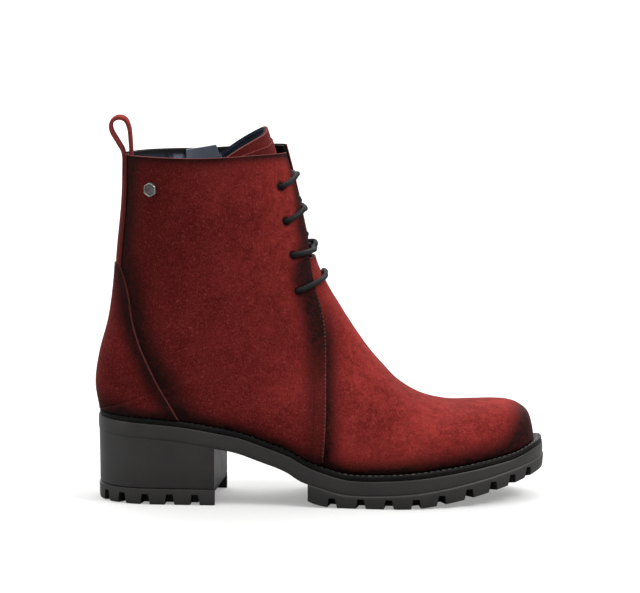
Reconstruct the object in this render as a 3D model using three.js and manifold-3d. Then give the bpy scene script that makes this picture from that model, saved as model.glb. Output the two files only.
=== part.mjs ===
// A lace-up ankle boot for the right foot, in suede, on a cleated rubber sole with a block heel.
// Millimetres, +X towards the toe, +Y towards the inner (medial) side, +Z up, standing on the floor.
// One function gives the shape of the last: sections fan from the collar round the heel to the toe.
// Every leather piece is cut from that function, so it follows when a size changes.
import * as THREE from "three";
import { mergeVertices } from "three/addons/utils/BufferGeometryUtils.js";
import Module from "manifold-3d";

const wasm = await Module();
wasm.setup();

// Driving sizes of the sole
const soleLength = 268; // back of the heel to the tip of the toe
const ballWidth = 97; // widest part of the outsole
const heelRound = 34; // length of the rounded back of the sole
const toeRound = 95; // length of the rounded front of the sole
const heelRise = 54; // top of the welt over the floor, at the heel
const ballRise = 19.6; // the same at the ball of the foot
const toeSpring = 13.9; // how far the welt climbs from the ball to the toe
const treadSpring = 17.5; // how far the tread climbs from the floor to the toe
const soleThickness = 12.4; // welt and sidewall together, without the tread
const toeThinning = 0.34; // share of that thickness lost at the toe
const weltThickness = 3.2;
const weltWidth = 9;
const weltStep = 0.8; // the sidewall stands out this far past the welt
const treadStep = 0.5; // the tread stands out this far past the sidewall
const treadStart = 124; // from the back of the heel to the rear edge of the tread
const treadFlat = 155; // from the back of the heel to where the tread meets the floor
const treadLift = 12; // height of the tread's rear edge over the floor

// Driving sizes of the heel
const heelLength = 74; // back of the heel to the middle of its front face
const breastTurn = 0.1; // slope of the front face, which lies further forward on the inner side
const topPieceHeight = 9.6;
const heelInset = 1.2; // the heel block stands back from the sole by this much

// Driving sizes of the upper
const shaftHeight = 153; // collar over the welt at the heel
const shaftWidth = 65;
const toeHeight = 35; // toe box over the welt
const wall = 2.2;
const collarDip = 1.2; // the collar sags at its sides
const collarCant = 1.8; // its front corner stands this much higher on the inner side
const featherBulge = 2; // belly of the upper over its bottom edge, from the ball forward
const overlay = 1.3; // thickness of a second layer of leather
const counterStep = 0.9; // the counter stands out more over the back seam
const seamStep = 1.2; // height of the quarter's edge over the vamp
const seamFade = 38; // the quarter sinks to the vamp's level over this length
const clearance = 0.3; // gap between pieces that touch
const footGap = 0.6; // the same under the upper, where the welt is curved

// Driving sizes of the fittings
const throatWidth = 17;
const throatBottom = 139; // height of the vamp's top edge at the front
const holeDiameter = 4.2;
const laceDiameter = 3.2;
const strapWidth = 16;
const strapThickness = 2;
const backstayWidth = 25;
const tongueThickness = 2.4;
const tongueLean = 6; // the top of the tongue leans in by this much
const flapThickness = 1.4;
const insoleThickness = 3.4;
const studWidth = 9.6; // across the corners
const studHeight = 1.8;
const LATERAL = -1;
const MEDIAL = 1;

// The welt's top falls from the heel to the ball: share of the sole's length, share of the fall
const waistCurve = [
  { x: 0, rise: 1 },
  { x: 0.05, rise: 0.968 },
  { x: 0.11, rise: 0.94 },
  { x: 0.19, rise: 0.885 },
  { x: 0.26, rise: 0.795 },
  { x: 0.32, rise: 0.7 },
  { x: 0.375, rise: 0.553 },
  { x: 0.43, rise: 0.39 },
  { x: 0.47, rise: 0.222 },
  { x: 0.515, rise: 0.096 },
  { x: 0.555, rise: 0.018 },
  { x: 0.59, rise: 0 },
];

// Plan of the sole before its ends are rounded: centre line and half width as shares of the ball's width
const solePlan = [
  { x: 0, centre: 0, half: 0.31 },
  { x: 0.12, centre: -0.02, half: 0.33 },
  { x: 0.25, centre: -0.04, half: 0.3425 },
  { x: 0.36, centre: -0.054, half: 0.345 },
  { x: 0.45, centre: -0.061, half: 0.37 },
  { x: 0.54, centre: -0.058, half: 0.42 },
  { x: 0.62, centre: -0.046, half: 0.468 },
  { x: 0.7, centre: -0.028, half: 0.503 },
  { x: 0.8, centre: 0.006, half: 0.51 },
  { x: 0.92, centre: 0.048, half: 0.51 },
  { x: 1, centre: 0.08, half: 0.51 },
];

// Sections of the shaft and heel, from above the collar down to the welt. The foot end lies on the back
// seam, the ridge end on the front. x in shares of the sole's length, rise in shares of the shaft's height,
// belly in shares of the shaft's half width, widest as the share of the way from foot to ridge.
const shaftSections = [
  { footX: 0.061, footRise: 1.12, ridgeX: 0.4085, ridgeRise: 1.142, belly: 1, widest: 0.47, crest: -2 },
  { footX: 0.062, footRise: 1, ridgeX: 0.429, ridgeRise: 1.022, belly: 1, widest: 0.47, crest: -2 },
  { footX: 0.0593, footRise: 0.8195, ridgeX: 0.4552, ridgeRise: 0.8518, belly: 1, widest: 0.48, crest: -2 },
  { footX: 0.0485, footRise: 0.6238, ridgeX: 0.475, ridgeRise: 0.6894, belly: 0.985, widest: 0.5, crest: -2 },
  { footX: 0.0422, footRise: 0.4795, ridgeX: 0.491, ridgeRise: 0.5773, belly: 0.985, widest: 0.5, crest: -1.8 },
  { footX: 0.0314, footRise: 0.3493, ridgeX: 0.506, ridgeRise: 0.5128, belly: 1, widest: 0.48, crest: -1.5 },
  { footX: 0.0116, footRise: 0.2181, ridgeX: 0.523, ridgeRise: 0.4532, belly: 1.015, widest: 0.45, crest: -1.2 },
  { footX: 0.0027, footRise: 0.101, ridgeX: 0.541, ridgeRise: 0.4018, belly: 1.03, widest: 0.42, crest: -0.9 },
];

// Sections of the foot. The foot end lies on the bottom edge, at this share of its length. The ridge's rise
// over the welt is in shares of the toe box's height, and the two heel sections give it as the shaft's do.
const footSections = [
  { foot: 0, ridgeX: 0.5537, ridgeRise: 0.364, belly: 1.04, widest: 0.4, crest: -0.6, shaft: true },
  { foot: 0.009, ridgeX: 0.5625, ridgeRise: 0.34, belly: 1.046, widest: 0.39, crest: -0.4, shaft: true },
  { foot: 0.035, ridgeX: 0.571, ridgeRise: 0.316, belly: 1.052, widest: 0.385, crest: -0.2, shaft: true },
  { foot: 0.085, ridgeX: 0.5835, ridgeRise: 0.284, belly: 1.06, widest: 0.38, crest: 0, shaft: true },
  { foot: 0.184, ridgeX: 0.608, ridgeRise: 1.98, belly: 1.086, widest: 0.36, crest: 0.5 },
  { foot: 0.319, ridgeX: 0.638, ridgeRise: 1.73, belly: 1.163, widest: 0.34, crest: 1.2 },
  { foot: 0.453, ridgeX: 0.675, ridgeRise: 1.376, belly: 1.26, widest: 0.32, crest: 2 },
  { foot: 0.568, ridgeX: 0.724, ridgeRise: 1.128, belly: 1.35, widest: 0.3, crest: 2.6 },
  { foot: 0.684, ridgeX: 0.784, ridgeRise: 0.971, belly: 1.4, widest: 0.28, crest: 3 },
  { foot: 0.783, ridgeX: 0.836, ridgeRise: 0.92, belly: 1.4, widest: 0.27, crest: 3.2 },
  { foot: 0.876, ridgeX: 0.888, ridgeRise: 0.868, belly: 1.4, widest: 0.27, crest: 3.3 },
  { foot: 0.929, ridgeX: 0.9215, ridgeRise: 0.803, belly: 1.4, widest: 0.28, crest: 3.3 },
  { foot: 0.964, ridgeX: 0.9455, ridgeRise: 0.699, belly: 1.4, widest: 0.3, crest: 3.4 },
  { foot: 0.985, ridgeX: 0.9657, ridgeRise: 0.53, belly: 1.4, widest: 0.32, crest: 3.4 },
  { foot: 0.9965, ridgeX: 0.975, ridgeRise: 0.293, belly: 1.4, widest: 0.36, crest: 3.4 },
  { foot: 1, ridgeX: 0.979, ridgeRise: 0, belly: 1.4, widest: 0.4, crest: 3.4 },
];

// Fullness of the sections, as the exponent of a superellipse, behind and in front of the widest point
const fullness = [
  { at: 0, back: 2, front: 2.1 },
  { at: 3, back: 2.05, front: 2.2 },
  { at: 5, back: 2.2, front: 2.5 },
  { at: 7, back: 2.4, front: 2.6 },
  { at: 8, back: 2.4, front: 2.7 },
  { at: 9, back: 2, front: 2.7 },
  { at: 10, back: 1.75, front: 2.7 },
  { at: 12, back: 1.55, front: 2.5 },
  { at: 14, back: 1.8, front: 2.3 },
  { at: 16, back: 2, front: 2.15 },
  { at: 23, back: 2, front: 2.1 },
];

// Front edge of the quarter from the side, as shares of the sole's length and of the collar's height
const quarterEdge = [
  { z: 0.05, x: 0.4975 },
  { z: 0.201, x: 0.509 },
  { z: 0.362, x: 0.5138 },
  { z: 0.534, x: 0.509 },
  { z: 0.644, x: 0.4925 },
  { z: 0.725, x: 0.479 },
];

// Front edge of the counter from the side, from the welt up to the back seam, in the same shares
const counterEdge = [
  { x: 0.205, z: 0.201 },
  { x: 0.169, z: 0.283 },
  { x: 0.142, z: 0.34 },
  { x: 0.12, z: 0.397 },
  { x: 0.098, z: 0.462 },
  { x: 0.083, z: 0.527 },
  { x: 0.074, z: 0.604 },
  { x: 0.062, z: 0.661 },
  { x: 0.053, z: 0.691 },
  { x: -0.05, z: 0.687 },
];

// The flap inside the collar from the side, in the same shares
const innerFlap = [
  { x: 0.192, z: 0.997 },
  { x: 0.26, z: 1.01 },
  { x: 0.275, z: 0.965 },
  { x: 0.275, z: 0.6 },
  { x: 0.196, z: 0.6 },
];

// Lace holes from the side, in the same shares, from the collar down
const laceHoles = [
  { x: 0.4104, z: 0.922 },
  { x: 0.4224, z: 0.819 },
  { x: 0.4373, z: 0.72 },
  { x: 0.4478, z: 0.618 },
];

// Pull loop from the side: centre of the strap, over the outer back seam and over the collar, in shares of
// the loop's height
const loopHeight = 22.5;
const loopRoute = [
  { x: 0.02, z: -0.5 },
  { x: 0, z: 0.08 },
  { x: -0.14, z: 0.34 },
  { x: -0.32, z: 0.68 },
  { x: -0.3, z: 0.88 },
  { x: -0.136, z: 0.985 },
  { x: 0.05, z: 0.935 },
  { x: 0.15, z: 0.74 },
  { x: 0.19, z: 0.4 },
  { x: 0.21, z: 0 },
  { x: 0.21, z: -0.6 },
];

const collarHeight = heelRise + shaftHeight;
const shaftMiddle = 0.28 * soleLength;
const clamp = THREE.MathUtils.clamp;
const mix = THREE.MathUtils.lerp;
const smoothstep = THREE.MathUtils.smoothstep;

// A smooth curve through a table's rows: column "of" as a function of column "by"
function through(rows, by, of) {
  const at = rows.map((row) => row[by]);
  const value = rows.map((row) => row[of]);
  const last = rows.length - 1;
  const slope = (i) => (value[i + 1] - value[i]) / (at[i + 1] - at[i]);
  const tangent = rows.map((_, i) => {
    if (i === 0) return slope(0);
    if (i === last) return slope(last - 1);
    const before = at[i] - at[i - 1];
    const after = at[i + 1] - at[i];
    return (after * slope(i - 1) + before * slope(i)) / (before + after);
  });
  return (x) => {
    const t = clamp(x, at[0], at[last]);
    let i = 0;
    while (i < last - 1 && t > at[i + 1]) i += 1;
    const span = at[i + 1] - at[i];
    const u = (t - at[i]) / span;
    const v = 1 - u;
    return (
      v * v * (1 + 2 * u) * value[i] +
      u * u * (3 - 2 * u) * value[i + 1] +
      u * v * span * (v * tangent[i] - u * tangent[i + 1])
    );
  };
}

const waistRise = through(waistCurve, "x", "rise");
const planCentre = through(solePlan, "x", "centre");
const planHalf = through(solePlan, "x", "half");
const quarterX = through(quarterEdge, "z", "x");
const fullBack = through(fullness, "at", "back");
const fullFront = through(fullness, "at", "front");

// Height of the welt's top at a distance from the back of the heel
function weltTop(x) {
  const share = clamp(x / soleLength, 0, 1);
  const ball = waistCurve.at(-1).x;
  const fore = Math.max(0, (share - ball) / (1 - ball));
  return ballRise + (heelRise - ballRise) * waistRise(share) + toeSpring * fore ** 1.8;
}

// Underside of the sidewall: the thickness is measured square to the sole
function sidewallBottom(x) {
  const slope = (weltTop(x + 1) - weltTop(x - 1)) / 2;
  const fore = clamp((x / soleLength - 0.69) / 0.31, 0, 1);
  return weltTop(x) - soleThickness * Math.hypot(1, slope) * (1 - toeThinning * fore ** 1.5);
}

// Underside of the tread: on the floor under the ball, lifted at its rear edge and at the toe
function treadBottom(x) {
  const rear = clamp((treadFlat - x) / (treadFlat - treadStart), 0, 1);
  const fore = clamp((x / soleLength - 0.69) / 0.31, 0, 1);
  return treadLift * rear ** 2.5 + treadSpring * fore ** 1.55;
}

// A closed solid from points and triangles, turned to face out
function solidOf(points, triangles) {
  const raw = new THREE.BufferGeometry();
  raw.setAttribute("position", new THREE.Float32BufferAttribute(points.flat(), 3));
  raw.setIndex(triangles.flat());
  const geometry = mergeVertices(raw, 1e-3);
  const index = geometry.index.array;
  const kept = [];
  for (let i = 0; i < index.length; i += 3) {
    const [a, b, c] = index.slice(i, i + 3);
    if (a !== b && b !== c && c !== a) kept.push(a, b, c);
  }
  return outward(new Float32Array(geometry.attributes.position.array), new Uint32Array(kept));
}

function outward(vertProperties, triVerts) {
  const made = new wasm.Manifold(new wasm.Mesh({ numProp: 3, vertProperties, triVerts }));
  if (made.volume() > 0) return made;
  for (let i = 0; i < triVerts.length; i += 3) triVerts.subarray(i, i + 2).reverse();
  return new wasm.Manifold(new wasm.Mesh({ numProp: 3, vertProperties, triVerts }));
}

// A solid from one of three.js's own closed geometries
function solidFrom(geometry) {
  geometry.deleteAttribute("normal");
  geometry.deleteAttribute("uv");
  const merged = mergeVertices(geometry, 1e-3);
  const triVerts = new Uint32Array(merged.index.array);
  return outward(new Float32Array(merged.attributes.position.array), triVerts);
}

// The triangles between rows of points. Rows close on themselves, and end rows are capped across.
function tubeOf(rows) {
  const count = rows[0].length;
  const triangles = [];
  const corner = (i, j) => i * count + (j % count);
  for (let i = 0; i < rows.length - 1; i += 1) {
    for (let j = 0; j < count; j += 1) {
      const quad = [corner(i, j), corner(i, j + 1), corner(i + 1, j + 1), corner(i + 1, j)];
      triangles.push([quad[0], quad[1], quad[2]], [quad[0], quad[2], quad[3]]);
    }
  }
  const cap = (row, turned) => {
    for (let j = 0; j < Math.floor(count / 2); j += 1) {
      const quad = [j, j + 1, count - 2 - j, count - 1 - j].map((k) => corner(row, k));
      if (turned) quad.reverse();
      triangles.push([quad[0], quad[2], quad[1]], [quad[0], quad[3], quad[2]]);
    }
  };
  cap(0, false);
  cap(rows.length - 1, true);
  return solidOf(rows.flat(), triangles);
}

// A box between two corners
function box(low, high) {
  const size = high.map((v, i) => v - low[i]);
  const geometry = new THREE.BoxGeometry(...size);
  geometry.translate(...low.map((v, i) => v + size[i] / 2));
  return solidFrom(geometry);
}

// A prism from an outline seen from the side, as [x, z] points, between two values of y
function sidePrism(outline, fromY, toY) {
  const shape = new THREE.Shape(outline.map(([x, z]) => new THREE.Vector2(x, z)));
  const geometry = new THREE.ExtrudeGeometry(shape, { depth: toY - fromY, bevelEnabled: false });
  geometry.rotateX(Math.PI / 2);
  geometry.translate(0, toY, 0);
  return solidFrom(geometry);
}

// Rounds an end of the sole: 0 at the very end, 1 where the sides begin
function roundedEnd(along, length, power) {
  const t = clamp(1 - along / length, 0, 1);
  return (1 - t ** power) ** (1 / power);
}

// Centre line and half width of an outline that stands in from the sole's edge by an inset
function plan(x, inset) {
  const share = x / soleLength;
  const back = roundedEnd(x - inset.heel, heelRound - inset.heel, 2.2);
  const front = roundedEnd(soleLength - inset.toe - x, toeRound - inset.toe, 2.2);
  return {
    centre: planCentre(share) * ballWidth,
    half: (planHalf(share) * ballWidth - inset.side(share)) * back * front,
  };
}

const evenInset = (by) => ({ heel: by, toe: by, side: () => by });
const insetBy = (inset, by) => ({
  heel: inset.heel + by,
  toe: inset.toe + by,
  side: (share) => inset.side(share) + by,
});

// The upper's bottom edge stands in from the sole's: little at the heel, more round the forefoot
const featherInset = {
  heel: 2.9,
  toe: 5.6,
  side: (share) => mix(2.6, 5.2, smoothstep(share, 0.15, 0.6)),
};

// An outline as a closed row of points, from the heel along the outer side to the toe and back
function outlineRow(inset, heightAt, stations) {
  const length = soleLength - inset.heel - inset.toe;
  const row = [];
  const pointAt = (k, side) => {
    const even = k / stations;
    const x = inset.heel + length * mix(even, (1 - Math.cos(Math.PI * even)) / 2, 0.65);
    const { centre, half } = plan(x, inset);
    return [x, centre + side * half, heightAt(x)];
  };
  for (let k = 0; k <= stations; k += 1) row.push(pointAt(k, LATERAL));
  for (let k = stations; k >= 0; k -= 1) row.push(pointAt(k, MEDIAL));
  return row;
}

// A solid whose levels are outlines of the sole, from the bottom up
function outlineStack(levels, stations = 26) {
  return tubeOf(levels.map(([inset, heightAt]) => outlineRow(inset, heightAt, stations)));
}

// The section of the last at s, a whole number at each row of the tables, grown outward by "out"
const collarRow = 1;
const heelRow = shaftSections.length;
const toeRow = shaftSections.length + footSections.length - 1;
const backRows = [...shaftSections, footSections[0]].map((row, s) => ({
  s,
  x: (row.footX ?? featherInset.heel / soleLength) * soleLength,
  z: row.footRise === undefined ? weltTop(featherInset.heel) : heelRise + row.footRise * shaftHeight,
}));
const footRows = footSections.map((row, i) => ({ s: heelRow + i, foot: row.foot }));
const ridgeRows = [...shaftSections, ...footSections].map((row, s) => {
  const x = row.ridgeX * soleLength;
  const overHeel = s < heelRow || row.shaft;
  return {
    s,
    x,
    z: overHeel ? heelRise + row.ridgeRise * shaftHeight : weltTop(x) + row.ridgeRise * toeHeight,
    belly: (row.belly * shaftWidth) / 2,
    widest: row.widest,
    crest: row.crest,
  };
});
const backX = through(backRows, "s", "x");
const backZ = through(backRows, "s", "z");
const footShare = through(footRows, "s", "foot");
const [ridgeX, ridgeZ, bellyAt, widestAt, crestAt] = ["x", "z", "belly", "widest", "crest"].map((of) =>
  through(ridgeRows, "s", of),
);

function section(s, out = 0) {
  const inset = insetBy(featherInset, -out);
  const onShaft = s <= heelRow;
  const nearCollar = 1 - smoothstep(s, collarRow, collarRow + 2);
  const length = soleLength - inset.heel - inset.toe;
  const x = onShaft ? backX(s) - out : inset.heel + clamp(footShare(s), 0, 1) * length;
  const z = (onShaft ? backZ(s) : weltTop(x)) + footGap;
  const { centre, half } = onShaft ? { centre: 0, half: 0 } : plan(x, inset);
  // The ridge moves out square to its own line
  const step = 0.05;
  const dx = ridgeX(s + step) - ridgeX(s - step);
  const dz = ridgeZ(s + step) - ridgeZ(s - step);
  const run = Math.hypot(dx, dz);
  const ridge = { x: ridgeX(s) - (dz / run) * out, z: ridgeZ(s) + (dx / run) * out + footGap };
  const share = x / soleLength;
  const fullFoot = half + featherBulge * clamp(half / 6, 0, 1);
  const belly = mix(bellyAt(s) + out, fullFoot, onShaft ? 0 : smoothstep(share, 0.45, 0.68));
  return {
    foot: { x, z },
    ridge,
    centre,
    crest: crestAt(s),
    dip: collarDip * nearCollar,
    cant: collarCant * nearCollar,
    edge: half,
    belly: Math.max(belly, half),
    widest: widestAt(s),
    back: fullBack(s),
    front: fullFront(s),
  };
}

// A point of a section: t runs from -1 at the outer bottom edge over 0 on the ridge to 1 at the inner edge
const frontShare = 0.58; // share of t that lies in front of the widest point
function sectionPoint(shape, t) {
  const away = Math.abs(t);
  const side = Math.sign(t);
  let q;
  let half;
  if (away < frontShare) {
    const angle = (Math.PI / 2) * (away / frontShare);
    q = shape.widest + (1 - shape.widest) * Math.cos(angle) ** (2 / shape.front);
    half = shape.belly * Math.sin(angle) ** (2 / shape.front);
  } else {
    const angle = (Math.PI / 2) * ((away - frontShare) / (1 - frontShare));
    q = shape.widest * (1 - Math.sin(angle) ** (2 / shape.back));
    half = shape.edge + (shape.belly - shape.edge) * Math.max(0, Math.cos(angle)) ** (2 / shape.back);
    if (away === 1) half = shape.edge;
  }
  const lean = shape.cant * side * clamp(half / 9, 0, 1) * q ** 4 - shape.dip * Math.sin(Math.PI * q) ** 2;
  return [
    mix(shape.foot.x, shape.ridge.x, q),
    mix(shape.centre, shape.crest, q) + side * half,
    mix(shape.foot.z, shape.ridge.z, q) + lean,
  ];
}

// The last as a closed solid from the collar to the toe, grown by "out". For a form that is to cut through
// another, rings above the collar carry it up, and a skirt carries it down past its bottom edge.
function lastForm({ out = 0, skirt = 0, above = 0, rings = 38, around = 22, grow = () => 0 }) {
  const rows = [];
  for (let i = -above; i <= rings; i += 1) {
    const s = mix(collarRow, toeRow, i / rings);
    const shape = section(s, out);
    const row = [];
    for (let j = 0; j <= around; j += 1) {
      const t = (2 * j) / around - 1;
      const flat = sectionPoint(shape, t);
      const more = grow(flat[0], flat[2]);
      row.push(more === 0 ? flat : sectionPoint(section(s, out + more), t));
    }
    if (skirt > 0) {
      const sink = shape.edge > 0.01 ? skirt : 0;
      const under = ([x, y, z]) => [x, y, z - sink];
      row.unshift(under(row[0]));
      row.push(under(row.at(-1)));
    }
    rows.push(row);
  }
  return tubeOf(rows);
}

// The point of the upper's outside that is seen at x, z from the side, with its outward direction
function surfaceAt(x, z, side, out = 0) {
  const miss = (s) => {
    const { foot, ridge } = section(s, out);
    return (ridge.x - foot.x) * (z - foot.z) - (ridge.z - foot.z) * (x - foot.x);
  };
  let low = 0;
  let high = toeRow;
  for (let i = 0; i < 40; i += 1) {
    const middle = (low + high) / 2;
    if (miss(middle) > 0) high = middle;
    else low = middle;
  }
  return { s: low, ...alongSection(low, x, z, side, out) };
}

function alongSection(s, x, z, side, out) {
  const shape = section(s, out);
  const run = Math.hypot(shape.ridge.x - shape.foot.x, shape.ridge.z - shape.foot.z);
  const q = Math.hypot(x - shape.foot.x, z - shape.foot.z) / run;
  let low = 0;
  let high = 1;
  for (let i = 0; i < 40; i += 1) {
    const middle = (low + high) / 2;
    const [px, , pz] = sectionPoint(shape, side * middle);
    if (Math.hypot(px - shape.foot.x, pz - shape.foot.z) / run > q) low = middle;
    else high = middle;
  }
  return upperPoint(s, side * low, out);
}

function upperPoint(s, t, out = 0) {
  const at = (ds, dt) => new THREE.Vector3(...sectionPoint(section(s + ds, out), t + dt));
  const [ds, dt] = [0.02, 0.01];
  const along = at(ds, 0).sub(at(-ds, 0));
  const across = at(0, dt).sub(at(0, -dt));
  const normal = new THREE.Vector3().crossVectors(along, across).normalize();
  return { t, point: at(0, 0), normal };
}

// Forms that share the inside's facets keep an even gap to it
const innerGrid = { above: 1, rings: 32, around: 18 };

// Pieces of leather between two grown forms of the last, cut by a prism
function layer(inner, outer, cutter, grow) {
  const under = lastForm({ out: inner, skirt: 6, above: 1 });
  return lastForm({ out: outer, grow }).subtract(under).intersect(cutter);
}

function sideCurve(rows, count) {
  const points = rows.map((row) => new THREE.Vector3(row.x * soleLength, 0, row.z * collarHeight));
  return new THREE.CatmullRomCurve3(points, false, "centripetal").getPoints(count).map((p) => [p.x, p.z]);
}

const wide = ballWidth; // reach of a cutter past both sides

// The quarter lies over the vamp along its front edge, and sinks to the vamp's level behind it
function quarterRaise(x, z) {
  const behind = quarterX(z / collarHeight) * soleLength - x;
  const high = 1 - smoothstep(z, throatBottom - 8, throatBottom + 22);
  return seamStep * high * (1 - smoothstep(behind, 4, seamFade));
}

// The upper: vamp and quarters in one hollow solid, open at the collar, the throat and underneath
function makeUpper() {
  const edge = quarterEdge.map((row) => [quarterX(row.z) * soleLength, row.z * collarHeight]);
  const behindEdge = sidePrism(
    [[edge[0][0] - seamFade, edge[0][1]], ...edge, [edge.at(-1)[0] - seamFade, edge.at(-1)[1]]],
    -wide,
    wide,
  );
  const quarter = lastForm({ out: -0.4, grow: (x, z) => 0.4 + quarterRaise(x, z) }).intersect(behindEdge);
  const inner = lastForm({ ...innerGrid, out: -wall, skirt: 6 });
  const half = throatWidth / 2;
  const crest = crestAt(collarRow);
  const throat = box([shaftMiddle, crest - half, throatBottom], [soleLength, crest + half, 400]);
  let upper = lastForm({}).add(quarter).subtract(inner).subtract(throat);
  for (const hole of laceHoles) {
    for (const side of [LATERAL, MEDIAL]) upper = upper.subtract(punch(hole, side));
  }
  return upper;
}

// A round punch through the upper's wall at a lace hole
function punch(hole, side) {
  const { point, normal } = surfaceAt(hole.x * soleLength, hole.z * collarHeight, side);
  const geometry = new THREE.CylinderGeometry(holeDiameter / 2, holeDiameter / 2, 4 * wall, 12);
  const turn = new THREE.Quaternion().setFromUnitVectors(new THREE.Vector3(0, 1, 0), normal);
  geometry.applyQuaternion(turn);
  geometry.translate(...point.toArray());
  return solidFrom(geometry);
}

function makeCounter() {
  const cutter = sidePrism(
    [[-0.05 * soleLength, 0.05 * collarHeight], [0.205 * soleLength, 0.05 * collarHeight], ...sideCurve(counterEdge, 18)],
    -wide,
    wide,
  );
  const overBackstay = (x) => counterStep * (1 - smoothstep(x, 9, 22));
  return layer(clearance, clearance + overlay, cutter, overBackstay);
}

// The strip up the back seam and the pull loop, which is the same strap turned over the collar
function makePullStrap() {
  const bottom = (counterEdge.at(-1).z + 0.006) * collarHeight;
  const half = backstayWidth / 2;
  const strip = layer(clearance, clearance + overlay, box([-20, -half, bottom], [60, half, 300]));
  const seamX = backX(collarRow) - clearance - overlay / 2;
  const centre = new THREE.CatmullRomCurve3(
    loopRoute.map(
      ({ x, z }) => new THREE.Vector3(seamX + x * loopHeight, 0, collarHeight + z * loopHeight),
    ),
  );
  const steps = 26;
  const outline = [];
  for (const side of [1, -1]) {
    for (let i = 0; i <= steps; i += 1) {
      const at = side > 0 ? i / steps : 1 - i / steps;
      const { x, z } = centre.getPointAt(at);
      const run = centre.getTangentAt(at);
      const half = (side * strapThickness) / 2;
      outline.push([x - run.z * half, z + run.x * half]);
    }
  }
  const loop = sidePrism(outline, -strapWidth / 2, strapWidth / 2);
  // Both legs stand clear of the upper's wall
  const keepOut = lastForm({ out: clearance }).subtract(lastForm({ ...innerGrid, out: -wall - clearance }));
  return loop.subtract(keepOut).add(strip);
}

// The tongue follows the inside of the upper's front, and leans in over the collar
const tongueEdge = 0.46; // how far round it reaches, as a value of t
const tongueFoot = 6.6; // section where it ends inside the vamp
function makeTongue() {
  const out = -wall - 0.9;
  const rings = 13;
  const across = 12;
  const sheet = (grow) => {
    const rows = [];
    for (let i = 0; i <= rings; i += 1) {
      const row = [];
      for (let j = 0; j <= across; j += 1) {
        const t = tongueEdge * ((2 * j) / across - 1);
        const top = mix(0.33, collarRow + 0.12, (Math.abs(t) / tongueEdge) ** 1.9);
        const [x, y, z] = sectionPoint(section(mix(top, tongueFoot, i / rings), out + grow), t);
        row.push([x - tongueLean * smoothstep(z, 0.84 * collarHeight, collarHeight), y, z]);
      }
      rows.push(row);
    }
    return rows;
  };
  const outside = sheet(0);
  const inside = sheet(-tongueThickness);
  return tubeOf(outside.map((row, i) => [...row, ...inside[i].reverse()]));
}

// The flap inside the collar, against the inner side of the shaft
function makeInnerFlap() {
  const near = -wall - clearance;
  const shell = lastForm({ ...innerGrid, out: near }).subtract(
    lastForm({ ...innerGrid, out: near - flapThickness, skirt: 6 }),
  );
  return shell.intersect(sidePrism(innerFlap.map(({ x, z }) => [x * soleLength, z * collarHeight]), 2, wide));
}

function makeInsole() {
  const inset = insetBy(featherInset, wall + 0.9);
  return outlineStack([
    [inset, (x) => weltTop(x) + clearance],
    [inset, (x) => weltTop(x) + clearance + insoleThickness],
  ]);
}

// The welt: a strip round the sole with a bevelled edge, on which the upper stands
function makeWelt() {
  const top = (x) => weltTop(x);
  const bottom = (x) => weltTop(x) - weltThickness + clearance;
  const outer = outlineStack([
    [evenInset(weltStep), bottom],
    [evenInset(weltStep), (x) => top(x) - 0.8],
    [evenInset(weltStep + 0.7), top],
  ]);
  const hole = evenInset(weltStep + weltWidth);
  return outer.subtract(
    outlineStack([
      [hole, (x) => bottom(x) - 2],
      [hole, (x) => top(x) + 2],
    ]),
  );
}

// A tapered groove in the tread's edge at x, running in square to the outline
const grooveMouth = 5.2;
const grooveRoof = 3.6;
function edgeGroove(x, side, length, floorAt, depth) {
  const at = (d) => {
    const { centre, half } = plan(x + d, evenInset(0));
    return centre + side * half;
  };
  const run = (at(0.5) - at(-0.5)) * side;
  const turn = Math.atan(-run) * side;
  const floor = floorAt(x);
  const shape = new THREE.Shape(
    [
      [-grooveMouth / 2, -4],
      [grooveMouth / 2, -4],
      [grooveMouth / 2, 0],
      [grooveRoof / 2, depth],
      [-grooveRoof / 2, depth],
      [-grooveMouth / 2, 0],
    ].map(([u, v]) => new THREE.Vector2(u, v)),
  );
  const geometry = new THREE.ExtrudeGeometry(shape, { depth: length + 4, bevelEnabled: false });
  geometry.rotateX(Math.PI / 2);
  geometry.translate(0, side > 0 ? 4 : length, 0);
  geometry.rotateZ(-turn);
  geometry.translate(x, at(0), floor);
  return solidFrom(geometry);
}

// Diamond lugs left standing in the middle of the tread
function diamond(x, floor, depth, size) {
  const geometry = new THREE.CylinderGeometry(size * 0.72, size, depth + 8, 4);
  geometry.rotateX(-Math.PI / 2);
  geometry.translate(x, plan(x, evenInset(0)).centre, floor + depth / 2);
  return solidFrom(geometry);
}

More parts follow.
